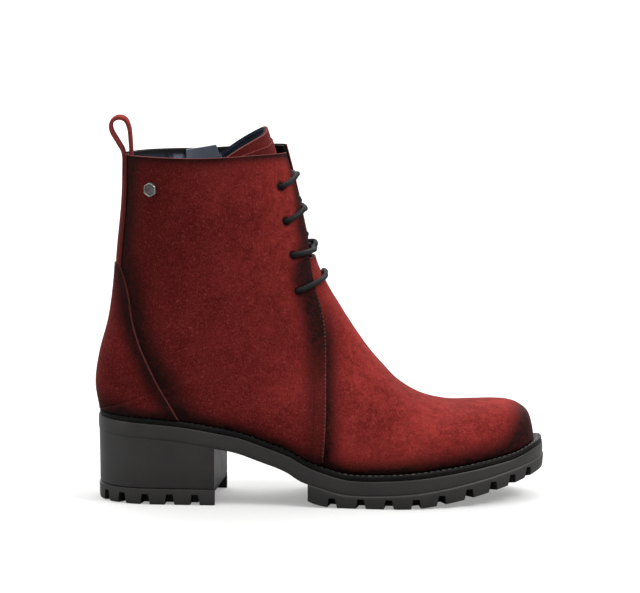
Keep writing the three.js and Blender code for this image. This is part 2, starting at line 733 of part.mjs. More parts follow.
const treadDepth = 5.8;
const lugPitch = 16.4;
const treadGrooves = [0.524, 0.588, 0.65, 0.711, 0.768, 0.83, 0.884, 0.927, 0.964];
const lugRing = 16; // width of the ring of lugs round the tread
function makeOutsole() {
  const plate = outlineStack([
    [evenInset(1.2), sidewallBottom],
    [evenInset(0), (x) => sidewallBottom(x) + 1.4],
    [evenInset(0.2), (x) => weltTop(x) - weltThickness],
    [evenInset(weltStep + weltWidth + clearance), (x) => weltTop(x) - weltThickness],
    [evenInset(weltStep + weltWidth + clearance), weltTop],
  ]);
  const pad = outlineStack([
    [evenInset(0.8), treadBottom],
    [evenInset(0), (x) => treadBottom(x) + 1.2],
    [evenInset(-treadStep), (x) => Math.max(treadBottom(x) + 1.5, sidewallBottom(x) - 0.4)],
    [evenInset(0.4), (x) => Math.max(treadBottom(x) + 2, sidewallBottom(x) + 0.8)],
  ]).intersect(box([treadStart, -wide, -5], [soleLength + 5, wide, 60]));
  let recess = outlineStack([
    [evenInset(lugRing), () => -8],
    [evenInset(lugRing), (x) => treadBottom(x) + treadDepth - 1],
  ]).intersect(box([treadFlat - 18, -wide, -9], [soleLength * 0.93, wide, 60]));
  for (let x = treadFlat - 3; x < 0.89 * soleLength; x += lugPitch) {
    recess = recess.subtract(diamond(x, treadBottom(x), treadDepth, 9));
  }
  let outsole = pad.subtract(recess).add(plate);
  for (const groove of treadGrooves) {
    for (const side of [LATERAL, MEDIAL]) {
      const x = groove * soleLength;
      outsole = outsole.subtract(edgeGroove(x, side, lugRing - 3, treadBottom, treadDepth));
    }
  }
  return outsole;
}

// Cuts off what lies in front of the heel's front face
function behindBreast(reach) {
  const shape = new THREE.Shape(
    [
      [-20, -wide],
      [heelLength + reach - breastTurn * wide, -wide],
      [heelLength + reach + breastTurn * wide, wide],
      [-20, wide],
    ].map(([x, y]) => new THREE.Vector2(x, y)),
  );
  const geometry = new THREE.ExtrudeGeometry(shape, { depth: 120, bevelEnabled: false });
  geometry.translate(0, 0, -20);
  return solidFrom(geometry);
}

function makeHeel() {
  return outlineStack([
    [evenInset(heelInset + 0.6), () => topPieceHeight + clearance],
    [evenInset(heelInset), (x) => sidewallBottom(x) - clearance],
  ]).intersect(behindBreast(0));
}

const heelGrooves = [5, 14.5, 28.6, 43.4, 58.6];
function makeTopPiece() {
  let piece = outlineStack([
    [evenInset(heelInset + 1), () => 0],
    [evenInset(heelInset + 0.2), () => 1.2],
    [evenInset(heelInset + 0.2), () => topPieceHeight],
  ]).intersect(behindBreast(0));
  const recess = outlineStack([
    [evenInset(lugRing - 2), () => -8],
    [evenInset(lugRing - 2), () => treadDepth - 1],
  ])
    .intersect(box([0, -wide, -9], [heelLength - 10, wide, 60]))
    .subtract(diamond(heelLength * 0.36, 0, treadDepth, 8))
    .subtract(diamond(heelLength * 0.62, 0, treadDepth, 8));
  piece = piece.subtract(recess);
  for (const x of heelGrooves) {
    for (const side of [LATERAL, MEDIAL]) {
      piece = piece.subtract(edgeGroove(x, side, x < 20 ? 8 : 11, () => 0, treadDepth + 0.6));
    }
  }
  return piece;
}

// A round cord along points
function cordOf(points, diameter, steps) {
  const path = new THREE.CatmullRomCurve3(points, false, "centripetal");
  const ring = new THREE.Shape();
  ring.absarc(0, 0, diameter / 2, 0, 2 * Math.PI);
  const sides = 6;
  const shape = new THREE.Shape(ring.getPoints(sides).slice(0, sides));
  const geometry = new THREE.ExtrudeGeometry(shape, { steps, extrudePath: path, bevelEnabled: false });
  return solidFrom(geometry);
}

// One crossing of the lace: each cord leaves its hole, climbs over the throat and ends at the other edge
const laceClimb = 0.034; // how far a cord climbs on its way across, as a share of the collar's height
const laceOverVamp = laceDiameter / 2 + 0.6;
const laceRun = [
  { share: 1, lift: 2.5 },
  { share: 0.7, lift: 2.3 },
  { share: 0.42, lift: 2 },
  { share: 0, lift: 1.2 },
  { share: -0.3, lift: -0.1 },
];
function makeLaceCrossing(hole) {
  const seam = quarterRaise(hole.x * soleLength, hole.z * collarHeight);
  const cords = [LATERAL, MEDIAL].map((side) => {
    const start = surfaceAt(hole.x * soleLength, hole.z * collarHeight, side);
    const over = surfaceAt(hole.x * soleLength, (hole.z + laceClimb) * collarHeight, side);
    return laceRun.map(({ share, lift }, i) => {
      const s = mix(start.s, over.s, i / (laceRun.length - 1));
      const { point, normal } = upperPoint(s, start.t * share);
      const floor = point.z < throatBottom + laceDiameter ? laceOverVamp : lift;
      return point.addScaledVector(normal, Math.max(lift, floor) + seam * Math.abs(share));
    });
  });
  return cordOf(cords[0], laceDiameter, 8).add(cordOf(cords[1], laceDiameter, 8));
}

// The plain six-sided stud on the outer side, below the collar
function makeStud() {
  const { point, normal } = surfaceAt(0.12 * soleLength, 0.917 * collarHeight, LATERAL, clearance);
  const geometry = new THREE.CylinderGeometry(studWidth * 0.42, studWidth / 2, studHeight, 6);
  geometry.translate(0, studHeight / 2, 0);
  const turn = new THREE.Quaternion().setFromUnitVectors(new THREE.Vector3(0, 1, 0), normal);
  geometry.applyQuaternion(turn);
  geometry.translate(...point.addScaledVector(normal, 0.1).toArray());
  return solidFrom(geometry);
}

function material(colour, roughness, metalness = 0) {
  return new THREE.MeshStandardMaterial({ color: colour, roughness, metalness });
}

const suede = material(0x6e1a1b, 0.95);
const darkSuede = material(0x4a1214, 0.95);
const rubber = material(0x2b2a29, 0.55);
const weltLeather = material(0x171616, 0.4);
const lining = material(0x232838, 0.6);
const laceCord = material(0x16181a, 0.8);
const nickel = material(0x8d8a84, 0.35, 0.9);

function meshOf(name, solid, finish) {
  const { vertProperties, triVerts } = solid.getMesh();
  const geometry = new THREE.BufferGeometry();
  geometry.setAttribute("position", new THREE.BufferAttribute(vertProperties, 3));
  geometry.setIndex(new THREE.BufferAttribute(triVerts, 1));
  geometry.computeVertexNormals();
  const mesh = new THREE.Mesh(geometry, finish);
  mesh.name = name;
  return mesh;
}

const boot = new THREE.Group();
boot.add(
  meshOf("outsole", makeOutsole(), rubber),
  meshOf("heel", makeHeel(), rubber),
  meshOf("top_piece", makeTopPiece(), rubber),
  meshOf("welt", makeWelt(), weltLeather),
  meshOf("insole", makeInsole(), lining),
  meshOf("upper", makeUpper(), suede),
  meshOf("counter", makeCounter(), darkSuede),
  meshOf("pull_strap", makePullStrap(), suede),
  meshOf("tongue", makeTongue(), suede),
  meshOf("inner_flap", makeInnerFlap(), lining),
  meshOf("stud", makeStud(), nickel),
);
laceHoles.forEach((hole, i) => boot.add(meshOf(`lace_${i + 1}`, makeLaceCrossing(hole), laceCord)));

// The origin is the middle of the boot's footprint, on the floor
const bounds = new THREE.Box3().setFromObject(boot);
const middle = bounds.getCenter(new THREE.Vector3());
boot.position.set(-middle.x, -middle.y, -bounds.min.z);

export default boot;
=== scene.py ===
import logging
import math
from collections.abc import Callable, Sequence
from dataclasses import dataclass, field
from enum import Enum

import bmesh
import bpy
import numpy as np
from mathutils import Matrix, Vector


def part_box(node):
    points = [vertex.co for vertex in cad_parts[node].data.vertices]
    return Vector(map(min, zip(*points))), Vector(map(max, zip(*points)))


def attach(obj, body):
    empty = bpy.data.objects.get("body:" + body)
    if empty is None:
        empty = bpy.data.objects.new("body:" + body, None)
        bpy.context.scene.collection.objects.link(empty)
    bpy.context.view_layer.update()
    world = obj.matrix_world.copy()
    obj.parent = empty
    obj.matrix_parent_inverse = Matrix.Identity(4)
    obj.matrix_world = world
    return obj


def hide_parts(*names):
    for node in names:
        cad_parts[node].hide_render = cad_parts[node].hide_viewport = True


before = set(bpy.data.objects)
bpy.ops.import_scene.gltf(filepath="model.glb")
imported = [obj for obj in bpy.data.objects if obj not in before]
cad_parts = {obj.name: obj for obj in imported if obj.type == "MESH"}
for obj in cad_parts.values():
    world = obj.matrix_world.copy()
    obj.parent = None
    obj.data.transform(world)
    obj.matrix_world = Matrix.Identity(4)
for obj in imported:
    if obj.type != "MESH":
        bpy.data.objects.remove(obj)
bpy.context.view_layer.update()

# A right ankle boot in burnished burgundy suede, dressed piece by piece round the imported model.
# Shapes are worked out in millimetres on the last, with +X to the toe, +Y to the inner side, +Z up and
# the origin under the back of the sole, and are put into the meshes in metres in the model's frame.

LOG = logging.getLogger("boot")
Array = np.ndarray
Socket = bpy.types.NodeSocket
Material = bpy.types.Material
Colour = tuple[float, float, float]
Place = tuple[float, float, float]


class Side(Enum):
    """The two sides of a right boot, as the sign of Y."""

    LATERAL = -1
    MEDIAL = 1


def table(columns: str, *rows: tuple[float, ...]) -> dict[str, Array]:
    """A short table with named columns, as one array for each column."""
    return dict(zip(columns.split(), np.array(rows, float).T))


def mix(a: Array | float, b: Array | float, share: Array | float) -> Array:
    """The value that lies this share of the way from a to b."""
    return a + (np.asarray(b) - a) * share


def smoothstep(x: Array | float, low: float, high: float) -> Array:
    """0 below low, 1 above high, and a smooth cubic between them."""
    u = np.clip((np.asarray(x, float) - low) / (high - low), 0, 1)
    return u * u * (3 - 2 * u)


def fade(distance: Array, width: float, power: float = 1.6) -> Array:
    """1 at a line and less with the distance from it: exp(-(distance / width) ** power)."""
    return np.exp(-((np.abs(distance) / width) ** power))


def any_of(*masks: Array) -> Array:
    """Where masks overlap they darken further, and never past 1: 1 minus the product of (1 - mask).

    Args:
        masks: values that are held between 0 and 1.

    Returns:
        The joint mask.
    """
    left = np.ones_like(masks[0])
    for mask in masks:
        left = left * (1 - np.clip(mask, 0, 1))
    return 1 - left


class Curve:
    """A smooth curve through a table's rows: a cubic between each two, with shared slopes at the rows."""

    def __init__(self, at: Array, value: Array) -> None:
        """Works out the slope at each row.

        Args:
            at: where the rows lie, rising.
            value: the value at each row.
        """
        self.at = np.asarray(at, float)
        self.value = np.asarray(value, float)
        span = np.diff(self.at)
        slope = np.diff(self.value) / span
        inner = (span[1:] * slope[:-1] + span[:-1] * slope[1:]) / (span[1:] + span[:-1])
        self.tangent = np.concatenate([slope[:1], inner, slope[-1:]])

    def __call__(self, x: Array | float) -> Array:
        """The curve's value at x, which is held within the table.

        Args:
            x: where to read the curve.

        Returns:
            The values, in the shape of x.
        """
        t = np.clip(np.asarray(x, float), self.at[0], self.at[-1])
        i = np.clip(np.searchsorted(self.at, t, side="right") - 1, 0, len(self.at) - 2)
        span = self.at[i + 1] - self.at[i]
        u = (t - self.at[i]) / span
        v = 1 - u
        ends = v * v * (1 + 2 * u) * self.value[i] + u * u * (3 - 2 * u) * self.value[i + 1]
        return ends + u * v * span * (v * self.tangent[i] - u * self.tangent[i + 1])


def smooth_path(points: Array, count: int) -> Array:
    """A rounded path through points, at even steps of its length.

    Each stretch is a centripetal spline: the knots stand apart by the square root of the distance.

    Args:
        points: the points that the path passes, as rows.
        count: how many points to give back.

    Returns:
        The points of the path, count rows.
    """
    ends = [2 * points[0] - points[1], *points, 2 * points[-1] - points[-2]]
    p = np.array(ends)
    gap = np.maximum(np.linalg.norm(np.diff(p, axis=0), axis=1), 1e-6) ** 0.5
    knots = np.concatenate([[0], np.cumsum(gap)])
    u = np.linspace(0, 1, 40, endpoint=False)
    dense = []
    for i in range(1, len(p) - 2):
        t0, t1, t2, t3 = knots[i - 1 : i + 3]
        t = (t1 + (t2 - t1) * u)[:, None]
        a1 = (t1 - t) / (t1 - t0) * p[i - 1] + (t - t0) / (t1 - t0) * p[i]
        a2 = (t2 - t) / (t2 - t1) * p[i] + (t - t1) / (t2 - t1) * p[i + 1]
        a3 = (t3 - t) / (t3 - t2) * p[i + 1] + (t - t2) / (t3 - t2) * p[i + 2]
        b1 = (t2 - t) / (t2 - t0) * a1 + (t - t0) / (t2 - t0) * a2
        b2 = (t3 - t) / (t3 - t1) * a2 + (t - t1) / (t3 - t1) * a3
        dense.append((t2 - t) / (t2 - t1) * b1 + (t - t1) / (t2 - t1) * b2)
    line = np.vstack([*dense, p[-2:-1]])
    length = np.concatenate([[0], np.cumsum(np.linalg.norm(np.diff(line, axis=0), axis=1))])
    even = np.linspace(0, length[-1], count)
    return np.stack([np.interp(even, length, line[:, k]) for k in range(line.shape[1])], axis=1)


# The welt's top falls from the heel to the ball: share of the sole's length, share of the fall
WAIST = table(
    "x rise",
    (0, 1), (0.05, 0.968), (0.11, 0.94), (0.19, 0.885), (0.26, 0.795), (0.32, 0.7),
    (0.375, 0.553), (0.43, 0.39), (0.47, 0.222), (0.515, 0.096), (0.555, 0.018), (0.59, 0),
)
# Plan of the sole before its ends are rounded, as shares of the ball's width
SOLE_PLAN = table(
    "x centre half",
    (0, 0, 0.31), (0.12, -0.02, 0.33), (0.25, -0.04, 0.3425), (0.36, -0.054, 0.345),
    (0.45, -0.061, 0.37), (0.54, -0.058, 0.42), (0.62, -0.046, 0.468), (0.7, -0.028, 0.503),
    (0.8, 0.006, 0.51), (0.92, 0.048, 0.51), (1, 0.08, 0.51),
)
# Sections of the last from above the collar to the toe. The back end of the first eight lies on the back
# seam; x in shares of the sole's length, rise in shares of the shaft's height.
BACK_SEAM = table(
    "x rise",
    (0.061, 1.12), (0.062, 1), (0.0593, 0.8195), (0.0485, 0.6238),
    (0.0422, 0.4795), (0.0314, 0.3493), (0.0116, 0.2181), (0.0027, 0.101),
)
# Their front end lies on the ridge: belly in shares of the shaft's half width, widest as the share of the
# way from back to ridge, crest as the ridge's distance from the middle
RIDGE = table(
    "x rise belly widest crest",
    (0.4085, 1.142, 1, 0.47, -2), (0.429, 1.022, 1, 0.47, -2), (0.4552, 0.8518, 1, 0.48, -2),
    (0.475, 0.6894, 0.985, 0.5, -2), (0.491, 0.5783, 0.985, 0.5, -1.8), (0.506, 0.516, 1, 0.48, -1.5),
    (0.523, 0.4582, 1.015, 0.45, -1.2), (0.541, 0.4073, 1.03, 0.42, -0.9),
    (0.5537, 0.3697, 1.04, 0.4, -0.6), (0.5625, 0.3458, 1.046, 0.39, -0.4),
    (0.571, 0.322, 1.052, 0.385, -0.2), (0.5835, 0.2893, 1.06, 0.38, 0),
    (0.608, 1.985, 1.086, 0.36, 0.5), (0.638, 1.71, 1.163, 0.34, 1.2),
    (0.675, 1.401, 1.26, 0.32, 2), (0.724, 1.15, 1.35, 0.3, 2.6), (0.784, 0.974, 1.4, 0.28, 3),
    (0.836, 0.92, 1.4, 0.27, 3.2), (0.888, 0.868, 1.4, 0.27, 3.3), (0.9215, 0.803, 1.4, 0.28, 3.3),
    (0.9455, 0.69, 1.4, 0.3, 3.4), (0.9657, 0.492, 1.4, 0.32, 3.4), (0.975, 0.24, 1.4, 0.36, 3.4),
    (0.979, 0, 1.4, 0.4, 3.4),
)
OVER_HEEL = 12  # so many ridge rows give their rise over the heel, the rest over the welt
# Where the foot's sections meet the bottom edge, as shares of its length
FOOT = table(
    "share",
    (0,), (0.009,), (0.035,), (0.085,), (0.184,), (0.319,), (0.453,), (0.568,),
    (0.684,), (0.783,), (0.876,), (0.929,), (0.964,), (0.985,), (0.9965,), (1,),
)
# Fullness of the sections as exponents behind and in front of the widest point
FULLNESS = table(
    "at back front",
    (0, 2, 2.1), (3, 2.05, 2.2), (5, 2.2, 2.5), (6, 2.3, 2.55), (7, 2.34, 2.6), (8, 2.26, 2.66),
    (9, 2.03, 2.69), (10, 1.76, 2.68), (11, 1.6, 2.61), (12, 1.56, 2.5), (14, 1.8, 2.3),
    (16, 2, 2.15), (23, 2, 2.1),
)
# Cut edges seen from the side, as shares of the sole's length and of the collar's height
QUARTER_EDGE = table(
    "z x", (0.05, 0.4975), (0.201, 0.508), (0.362, 0.5102), (0.534, 0.5037), (0.644, 0.481), (0.725, 0.472)
)
COUNTER_EDGE = table(
    "z x",
    (0.201, 0.205), (0.283, 0.169), (0.34, 0.142), (0.397, 0.12), (0.462, 0.098),
    (0.527, 0.083), (0.604, 0.074), (0.661, 0.062), (0.691, 0.053),
)
LACE_HOLES = table("x z", (0.4104, 0.922), (0.4224, 0.819), (0.4373, 0.72), (0.4478, 0.618))
# How far a run of the lace has climbed, in millimetres, at the near edge, the middle and the far edge of
# the throat: first the run from the outer hole, then the run from the inner one; the last row is a bar
LACE_RISE = table(
    "outer_near outer_middle outer_far inner_near inner_middle inner_far",
    (4.5, 5.0, 3.0, 1.6, 3.0, 5.0), (5.6, 7.0, 9.0, 2.7, 8.0, 13.7),
    (0.2, 0.8, 4.7, -1.0, 6.0, 13.0), (3.7, 7.0, 7.0, 3.7, 7.0, 7.0),
)
# Where grooves run in from the edge: in the tread, in shares of the sole's length, and in the heel's lift
TREAD_GROOVES = (0.524, 0.588, 0.65, 0.711, 0.768, 0.83, 0.884, 0.927, 0.964)
LIFT_GROOVES = (5, 14.5, 28.6, 43.4, 58.6)


@dataclass(frozen=True)
class Inset:
    """How far an outline stands in from the sole's edge: at the heel, the toe and both ends of a side."""

    heel: float
    toe: float
    side: float
    fore: float

    @staticmethod
    def even(by: float) -> "Inset":
        """The same distance all round."""
        return Inset(by, by, by, by)

    def by(self, more: Array | float) -> "Inset":
        """This inset with the same distance added all round."""
        return Inset(self.heel + more, self.toe + more, self.side + more, self.fore + more)


@dataclass(frozen=True)
class Last:
    """The form on which the boot is made, and the sole that goes under it."""

    sole_length: float = 268
    ball_width: float = 97
    heel_round: float = 34
    toe_round: float = 95
    heel_rise: float = 54
    ball_rise: float = 19.6
    toe_spring: float = 13.9
    toe_curl: float = 2.6
    tread_spring: float = 17.5
    sole_thickness: float = 12.4
    toe_thinning: float = 0.34
    tread_start: float = 126
    tread_flat: float = 155
    tread_lift: float = 3.6
    tread_step: float = 0.5
    shaft_height: float = 153
    shaft_width: float = 65
    toe_height: float = 35
    collar_dip: float = 1.2
    collar_cant: float = 1.8
    feather_bulge: float = 2
    foot_gap: float = 0.6
    seam_step: float = 1.2
    seam_fade: float = 38
    throat_bottom: float = 139
    throat_width: float = 17
    collar_row: int = 1
    heel_row: int = 8
    toe_row: int = 23
    front_share: float = 0.58
    feather: Inset = Inset(2.9, 5.6, 2.6, 5.2)
    curves: dict[str, Curve] = field(default_factory=dict)

    @property
    def collar_height(self) -> float:
        """Height of the collar over the floor at the back."""
        return self.heel_rise + self.shaft_height

    @property
    def origin(self) -> Array:
        """Where the last's origin lies in the model's frame, from the model's own pieces.

        Returns:
            The place in millimetres.
        """
        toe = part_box("outsole")[1].x * 1000
        low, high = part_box("pull_strap")
        return np.array([toe - self.sole_length - self.tread_step, (low.y + high.y) * 500, 0.0])

    def curve(self, name: str) -> Curve:
        """One of the last's curves, worked out at its first use.

        Args:
            name: what the curve gives.

        Returns:
            The curve.
        """
        if not self.curves:
            self._work_out_curves()
        return self.curves[name]

    def _work_out_curves(self) -> None:
        """Turns the tables' shares into millimetres and fits the curves."""
        length, rows = self.sole_length, np.arange(len(RIDGE["x"]))
        self.curves["waist"] = Curve(WAIST["x"], WAIST["rise"])
        self.curves["centre"] = Curve(SOLE_PLAN["x"], SOLE_PLAN["centre"])
        self.curves["half"] = Curve(SOLE_PLAN["x"], SOLE_PLAN["half"])
        self.curves["quarter"] = Curve(QUARTER_EDGE["z"], QUARTER_EDGE["x"])
        self.curves["counter"] = Curve(COUNTER_EDGE["z"], COUNTER_EDGE["x"])
        over_heel = self.heel_rise + RIDGE["rise"] * self.shaft_height
        over_welt = self.welt_top(RIDGE["x"] * length) + RIDGE["rise"] * self.toe_height
        self.curves["ridge_x"] = Curve(rows, RIDGE["x"] * length)
        self.curves["ridge_z"] = Curve(rows, np.where(rows < OVER_HEEL, over_heel, over_welt))
        self.curves["belly"] = Curve(rows, RIDGE["belly"] * self.shaft_width / 2)
        self.curves["widest"] = Curve(rows, RIDGE["widest"])
        self.curves["crest"] = Curve(rows, RIDGE["crest"])
        back_z = self.heel_rise + BACK_SEAM["rise"] * self.shaft_height
        seam = np.arange(self.heel_row + 1)
        self.curves["back_x"] = Curve(seam, np.append(BACK_SEAM["x"] * length, self.feather.heel))
        self.curves["back_z"] = Curve(seam, np.append(back_z, self.welt_top(self.feather.heel)))
        self.curves["foot"] = Curve(self.heel_row + np.arange(len(FOOT["share"])), FOOT["share"])
        self.curves["back"] = Curve(FULLNESS["at"], FULLNESS["back"])
        self.curves["front"] = Curve(FULLNESS["at"], FULLNESS["front"])

    def welt_top(self, x: Array | float) -> Array:
        """Height of the welt's top: the waist's fall, a power curve up to the toe and a curl at its tip.

        Args:
            x: distance from the back of the heel.

        Returns:
            The height.
        """
        share = np.clip(np.asarray(x, float) / self.sole_length, 0, 1)
        ball = WAIST["x"][-1]
        fore = np.maximum(0, (share - ball) / (1 - ball))
        fall = (self.heel_rise - self.ball_rise) * Curve(WAIST["x"], WAIST["rise"])(share)
        return self.ball_rise + fall + self.toe_spring * fore**1.8 + self.curl(share)

    def curl(self, share: Array) -> Array:
        """How far the welt turns up at the very tip of the toe."""
        return self.toe_curl * smoothstep(share, 0.93, 1.0)

    def sidewall_bottom(self, x: Array | float) -> Array:
        """Underside of the sidewall: the thickness is measured square to the sole, and thins to the toe.

        Args:
            x: distance from the back of the heel.

        Returns:
            The height.
        """
        slope = (self.welt_top(x + 1) - self.welt_top(x - 1)) / 2
        fore = np.clip((x / self.sole_length - 0.69) / 0.31, 0, 1)
        square = self.sole_thickness * (1 - self.toe_thinning * fore**1.5)
        upright = square * np.hypot(1, np.minimum(slope, 0.3))
        return self.welt_top(x) - upright - self.curl(x / self.sole_length)

    def tread_bottom(self, x: Array | float) -> Array:
        """Underside of the tread: on the floor under the ball, and power curves up at its rear and toe.

        Args:
            x: distance from the back of the heel.

        Returns:
            The height.
        """
        rear = np.clip((self.tread_flat - x) / (self.tread_flat - self.tread_start), 0, 1)
        fore = np.clip((x / self.sole_length - 0.69) / 0.31, 0, 1)
        return self.tread_lift * rear**4 + self.tread_spring * fore**1.55

    def plan(self, x: Array, inset: Inset) -> tuple[Array, Array]:
        """Centre line and half width of an outline: the table's half width times two superellipse ends.

        Args:
            x: distance from the back of the heel.
            inset: how far the outline stands in.

        Returns:
            The centre line's y and the half width.
        """
        share = x / self.sole_length

        def rounded(along: Array, length: Array) -> Array:
            """Half width of a rounded end, 0 at the very end and 1 where the sides begin."""
            t = np.clip(1 - along / length, 0, 1)
            return (1 - t**2.2) ** (1 / 2.2)

        back = rounded(x - inset.heel, self.heel_round - inset.heel)
        front = rounded(self.sole_length - inset.toe - x, self.toe_round - inset.toe)
        side = mix(inset.side, inset.fore, smoothstep(share, 0.15, 0.6))
        half = (self.curve("half")(share) * self.ball_width - side) * back * front
        return self.curve("centre")(share) * self.ball_width, half

    def section(self, s: Array, out: Array) -> dict[str, Array]:
        """The last's section at s, a whole number at each table row, grown outward by out.

        Args:
            s: which section, from 1 at the collar to 23 at the toe.
            out: how far the form is grown.

        Returns:
            The section's ends, belly, lean and fullness.
        """
        inset = self.feather.by(-out)
        on_shaft = s <= self.heel_row
        near_collar = 1 - smoothstep(s, self.collar_row, self.collar_row + 2)
        length = self.sole_length - inset.heel - inset.toe
        along = inset.heel + np.clip(self.curve("foot")(s), 0, 1) * length
        x = np.where(on_shaft, self.curve("back_x")(s) - out, along)
        z = np.where(on_shaft, self.curve("back_z")(s), self.welt_top(x)) + self.foot_gap
        centre, half = self.plan(np.where(on_shaft, inset.heel, x), inset)
        centre, half = np.where(on_shaft, 0, centre), np.where(on_shaft, 0, half)
        ridge_x, ridge_z = self.curve("ridge_x"), self.curve("ridge_z")
        step = 0.05
        dx, dz = ridge_x(s + step) - ridge_x(s - step), ridge_z(s + step) - ridge_z(s - step)
        run = np.hypot(dx, dz)
        full = half + self.feather_bulge * np.clip(half / 6, 0, 1)
        shift = np.where(on_shaft, 0, smoothstep(x / self.sole_length, 0.45, 0.68))
        return {
            "foot_x": x,
            "foot_z": z,
            "ridge_x": ridge_x(s) - dz / run * out,
            "ridge_z": ridge_z(s) + dx / run * out + self.foot_gap,
            "centre": centre,
            "crest": self.curve("crest")(s),
            "dip": self.collar_dip * near_collar,
            "cant": self.collar_cant * near_collar,
            "edge": half,
            "belly": np.maximum(mix(self.curve("belly")(s) + out, full, shift), half),
            "widest": self.curve("widest")(s),
            "back": self.curve("back")(s),
            "front": self.curve("front")(s),
        }

    def point(self, s: Array, t: Array, out: Array | float = 0.0) -> Array:
        """Points of the form. A section is two superellipse arcs that meet at its widest point.

        Args:
            s: which section.
            t: how far round it: -1 at the outer bottom edge, 0 on the ridge and 1 at the inner edge.
            out: how far the form is grown.

        Returns:
            The points, with x, y and z along the last axis.
        """
        s, t, out = np.broadcast_arrays(np.asarray(s, float), np.asarray(t, float), np.asarray(out, float))
        c = self.section(s, out)
        away, side = np.abs(t), np.sign(t)
        fore = np.pi / 2 * np.clip(away / self.front_share, 0, 1)
        rear = np.pi / 2 * np.clip((away - self.front_share) / (1 - self.front_share), 0, 1)
        in_front = away < self.front_share
        q_fore = c["widest"] + (1 - c["widest"]) * np.cos(fore) ** (2 / c["front"])
        q_rear = c["widest"] * (1 - np.sin(rear) ** (2 / c["back"]))
        half_fore = c["belly"] * np.sin(fore) ** (2 / c["front"])
        half_rear = mix(c["edge"], c["belly"], np.maximum(0, np.cos(rear)) ** (2 / c["back"]))
        q = np.where(in_front, q_fore, q_rear)
        half = np.where(in_front, half_fore, half_rear)
        cant = c["cant"] * side * np.clip(half / 9, 0, 1) * q**4
        lean = cant - c["dip"] * np.sin(np.pi * q) ** 2
        x = mix(c["foot_x"], c["ridge_x"], q)
        y = mix(c["centre"], c["crest"], q) + side * half
        return np.stack([x, y, mix(c["foot_z"], c["ridge_z"], q) + lean], axis=-1)

    def normal(self, s: Array, t: Array, out: Array | float = 0.0) -> Array:
        """Outward direction of the form, square to its two directions of travel.

        Args:
            s: which section.
            t: how far round it.
            out: how far the form is grown.

        Returns:
            A unit vector for each point.
        """
        ds, dt = 0.02, 0.01
        along = self.point(s + ds, t, out) - self.point(s - ds, t, out)
        across = self.point(s, t + dt, out) - self.point(s, t - dt, out)
        n = np.cross(along, across)
        return n / np.linalg.norm(n, axis=-1, keepdims=True)

    def turn_where(self, s: Array, side: Side, ahead: Callable[[Array], Array]) -> Array:
        """How far round each section a line lies, by halving the interval.

        Args:
            s: the sections.
            side: which side of the boot.
            ahead: positive for points between the ridge and the line, negative behind the line.

        Returns:
            The turn t of the line, without its sign.
        """
        low, high = np.zeros_like(s), np.ones_like(s)
        for _ in range(34):
            middle = (low + high) / 2
            before = ahead(self.point(s, side.value * middle)) > 0
            low, high = np.where(before, middle, low), np.where(before, high, middle)
        return (low + high) / 2

    def locate(self, x: Array, z: Array, side: Side) -> tuple[Array, Array]:
        """Section and turn of the points that are seen at x, z from the side.

        Args:
            x: distance from the back of the heel.
            z: height.
            side: which side of the boot.

        Returns:
            s, and t with its sign.
        """
        x, z = np.broadcast_arrays(np.asarray(x, float), np.asarray(z, float))
        low, high = np.zeros_like(x), np.full_like(x, self.toe_row)
        for _ in range(34):
            s = (low + high) / 2
            c = self.section(s, np.zeros_like(s))
            rise = (c["ridge_x"] - c["foot_x"]) * (z - c["foot_z"])
            past = rise > (c["ridge_z"] - c["foot_z"]) * (x - c["foot_x"])
            low, high = np.where(past, low, s), np.where(past, s, high)
        c = self.section(low, np.zeros_like(low))
        run = np.hypot(c["ridge_x"] - c["foot_x"], c["ridge_z"] - c["foot_z"])
        share = np.hypot(x - c["foot_x"], z - c["foot_z"]) / run

        def nearer_ridge(p: Array) -> Array:
            """Positive for points nearer the ridge than the one sought."""
            return np.hypot(p[..., 0] - c["foot_x"], p[..., 2] - c["foot_z"]) / run - share

        return low, side.value * self.turn_where(low, side, nearer_ridge)

    def behind_quarter_edge(self, x: Array, z: Array) -> Array:
        """How far a point lies behind the quarter's front edge, seen from the side."""
        return self.curve("quarter")(z / self.collar_height) * self.sole_length - x

    def ahead_of_counter(self, x: Array, z: Array) -> Array:
        """How far a point lies in front of the counter's edge, seen from the side."""
        return x - self.curve("counter")(z / self.collar_height) * self.sole_length

    def quarter_raise(self, x: Array, z: Array) -> Array:
        """The quarter lies over the vamp at its front edge and sinks to the vamp's level behind it."""
        high = 1 - smoothstep(z, self.throat_bottom - 8, self.throat_bottom + 22)
        return self.seam_step * high * (1 - smoothstep(self.behind_quarter_edge(x, z), 4, self.seam_fade))


@dataclass
class Shell:
    """A mesh in the making: points on the last, four-sided faces, and marks on the points."""

    points: Array
    faces: Array
    marks: dict[str, Array] = field(default_factory=dict)
    finish: Array | None = None
    uv: Array | None = None


RIM_MARKS = {"burn": 0.92, "raw": 0.0}  # how a cut edge looks below its outer corner


def quads(rows: int, columns: int, wrap: bool = False) -> Array:
    """Faces between neighbouring points of a grid.

    Args:
        rows: how many rows of points.
        columns: how many points a row.
        wrap: whether a row closes on itself.

    Returns:
        Four point numbers a face.
    """
    r = np.arange(rows - 1)[:, None] * columns
    c = np.arange(columns if wrap else columns - 1)[None, :]
    n = (c + 1) % columns
    return np.stack([r + c, r + columns + c, r + columns + n, r + n], axis=-1).reshape(-1, 4)


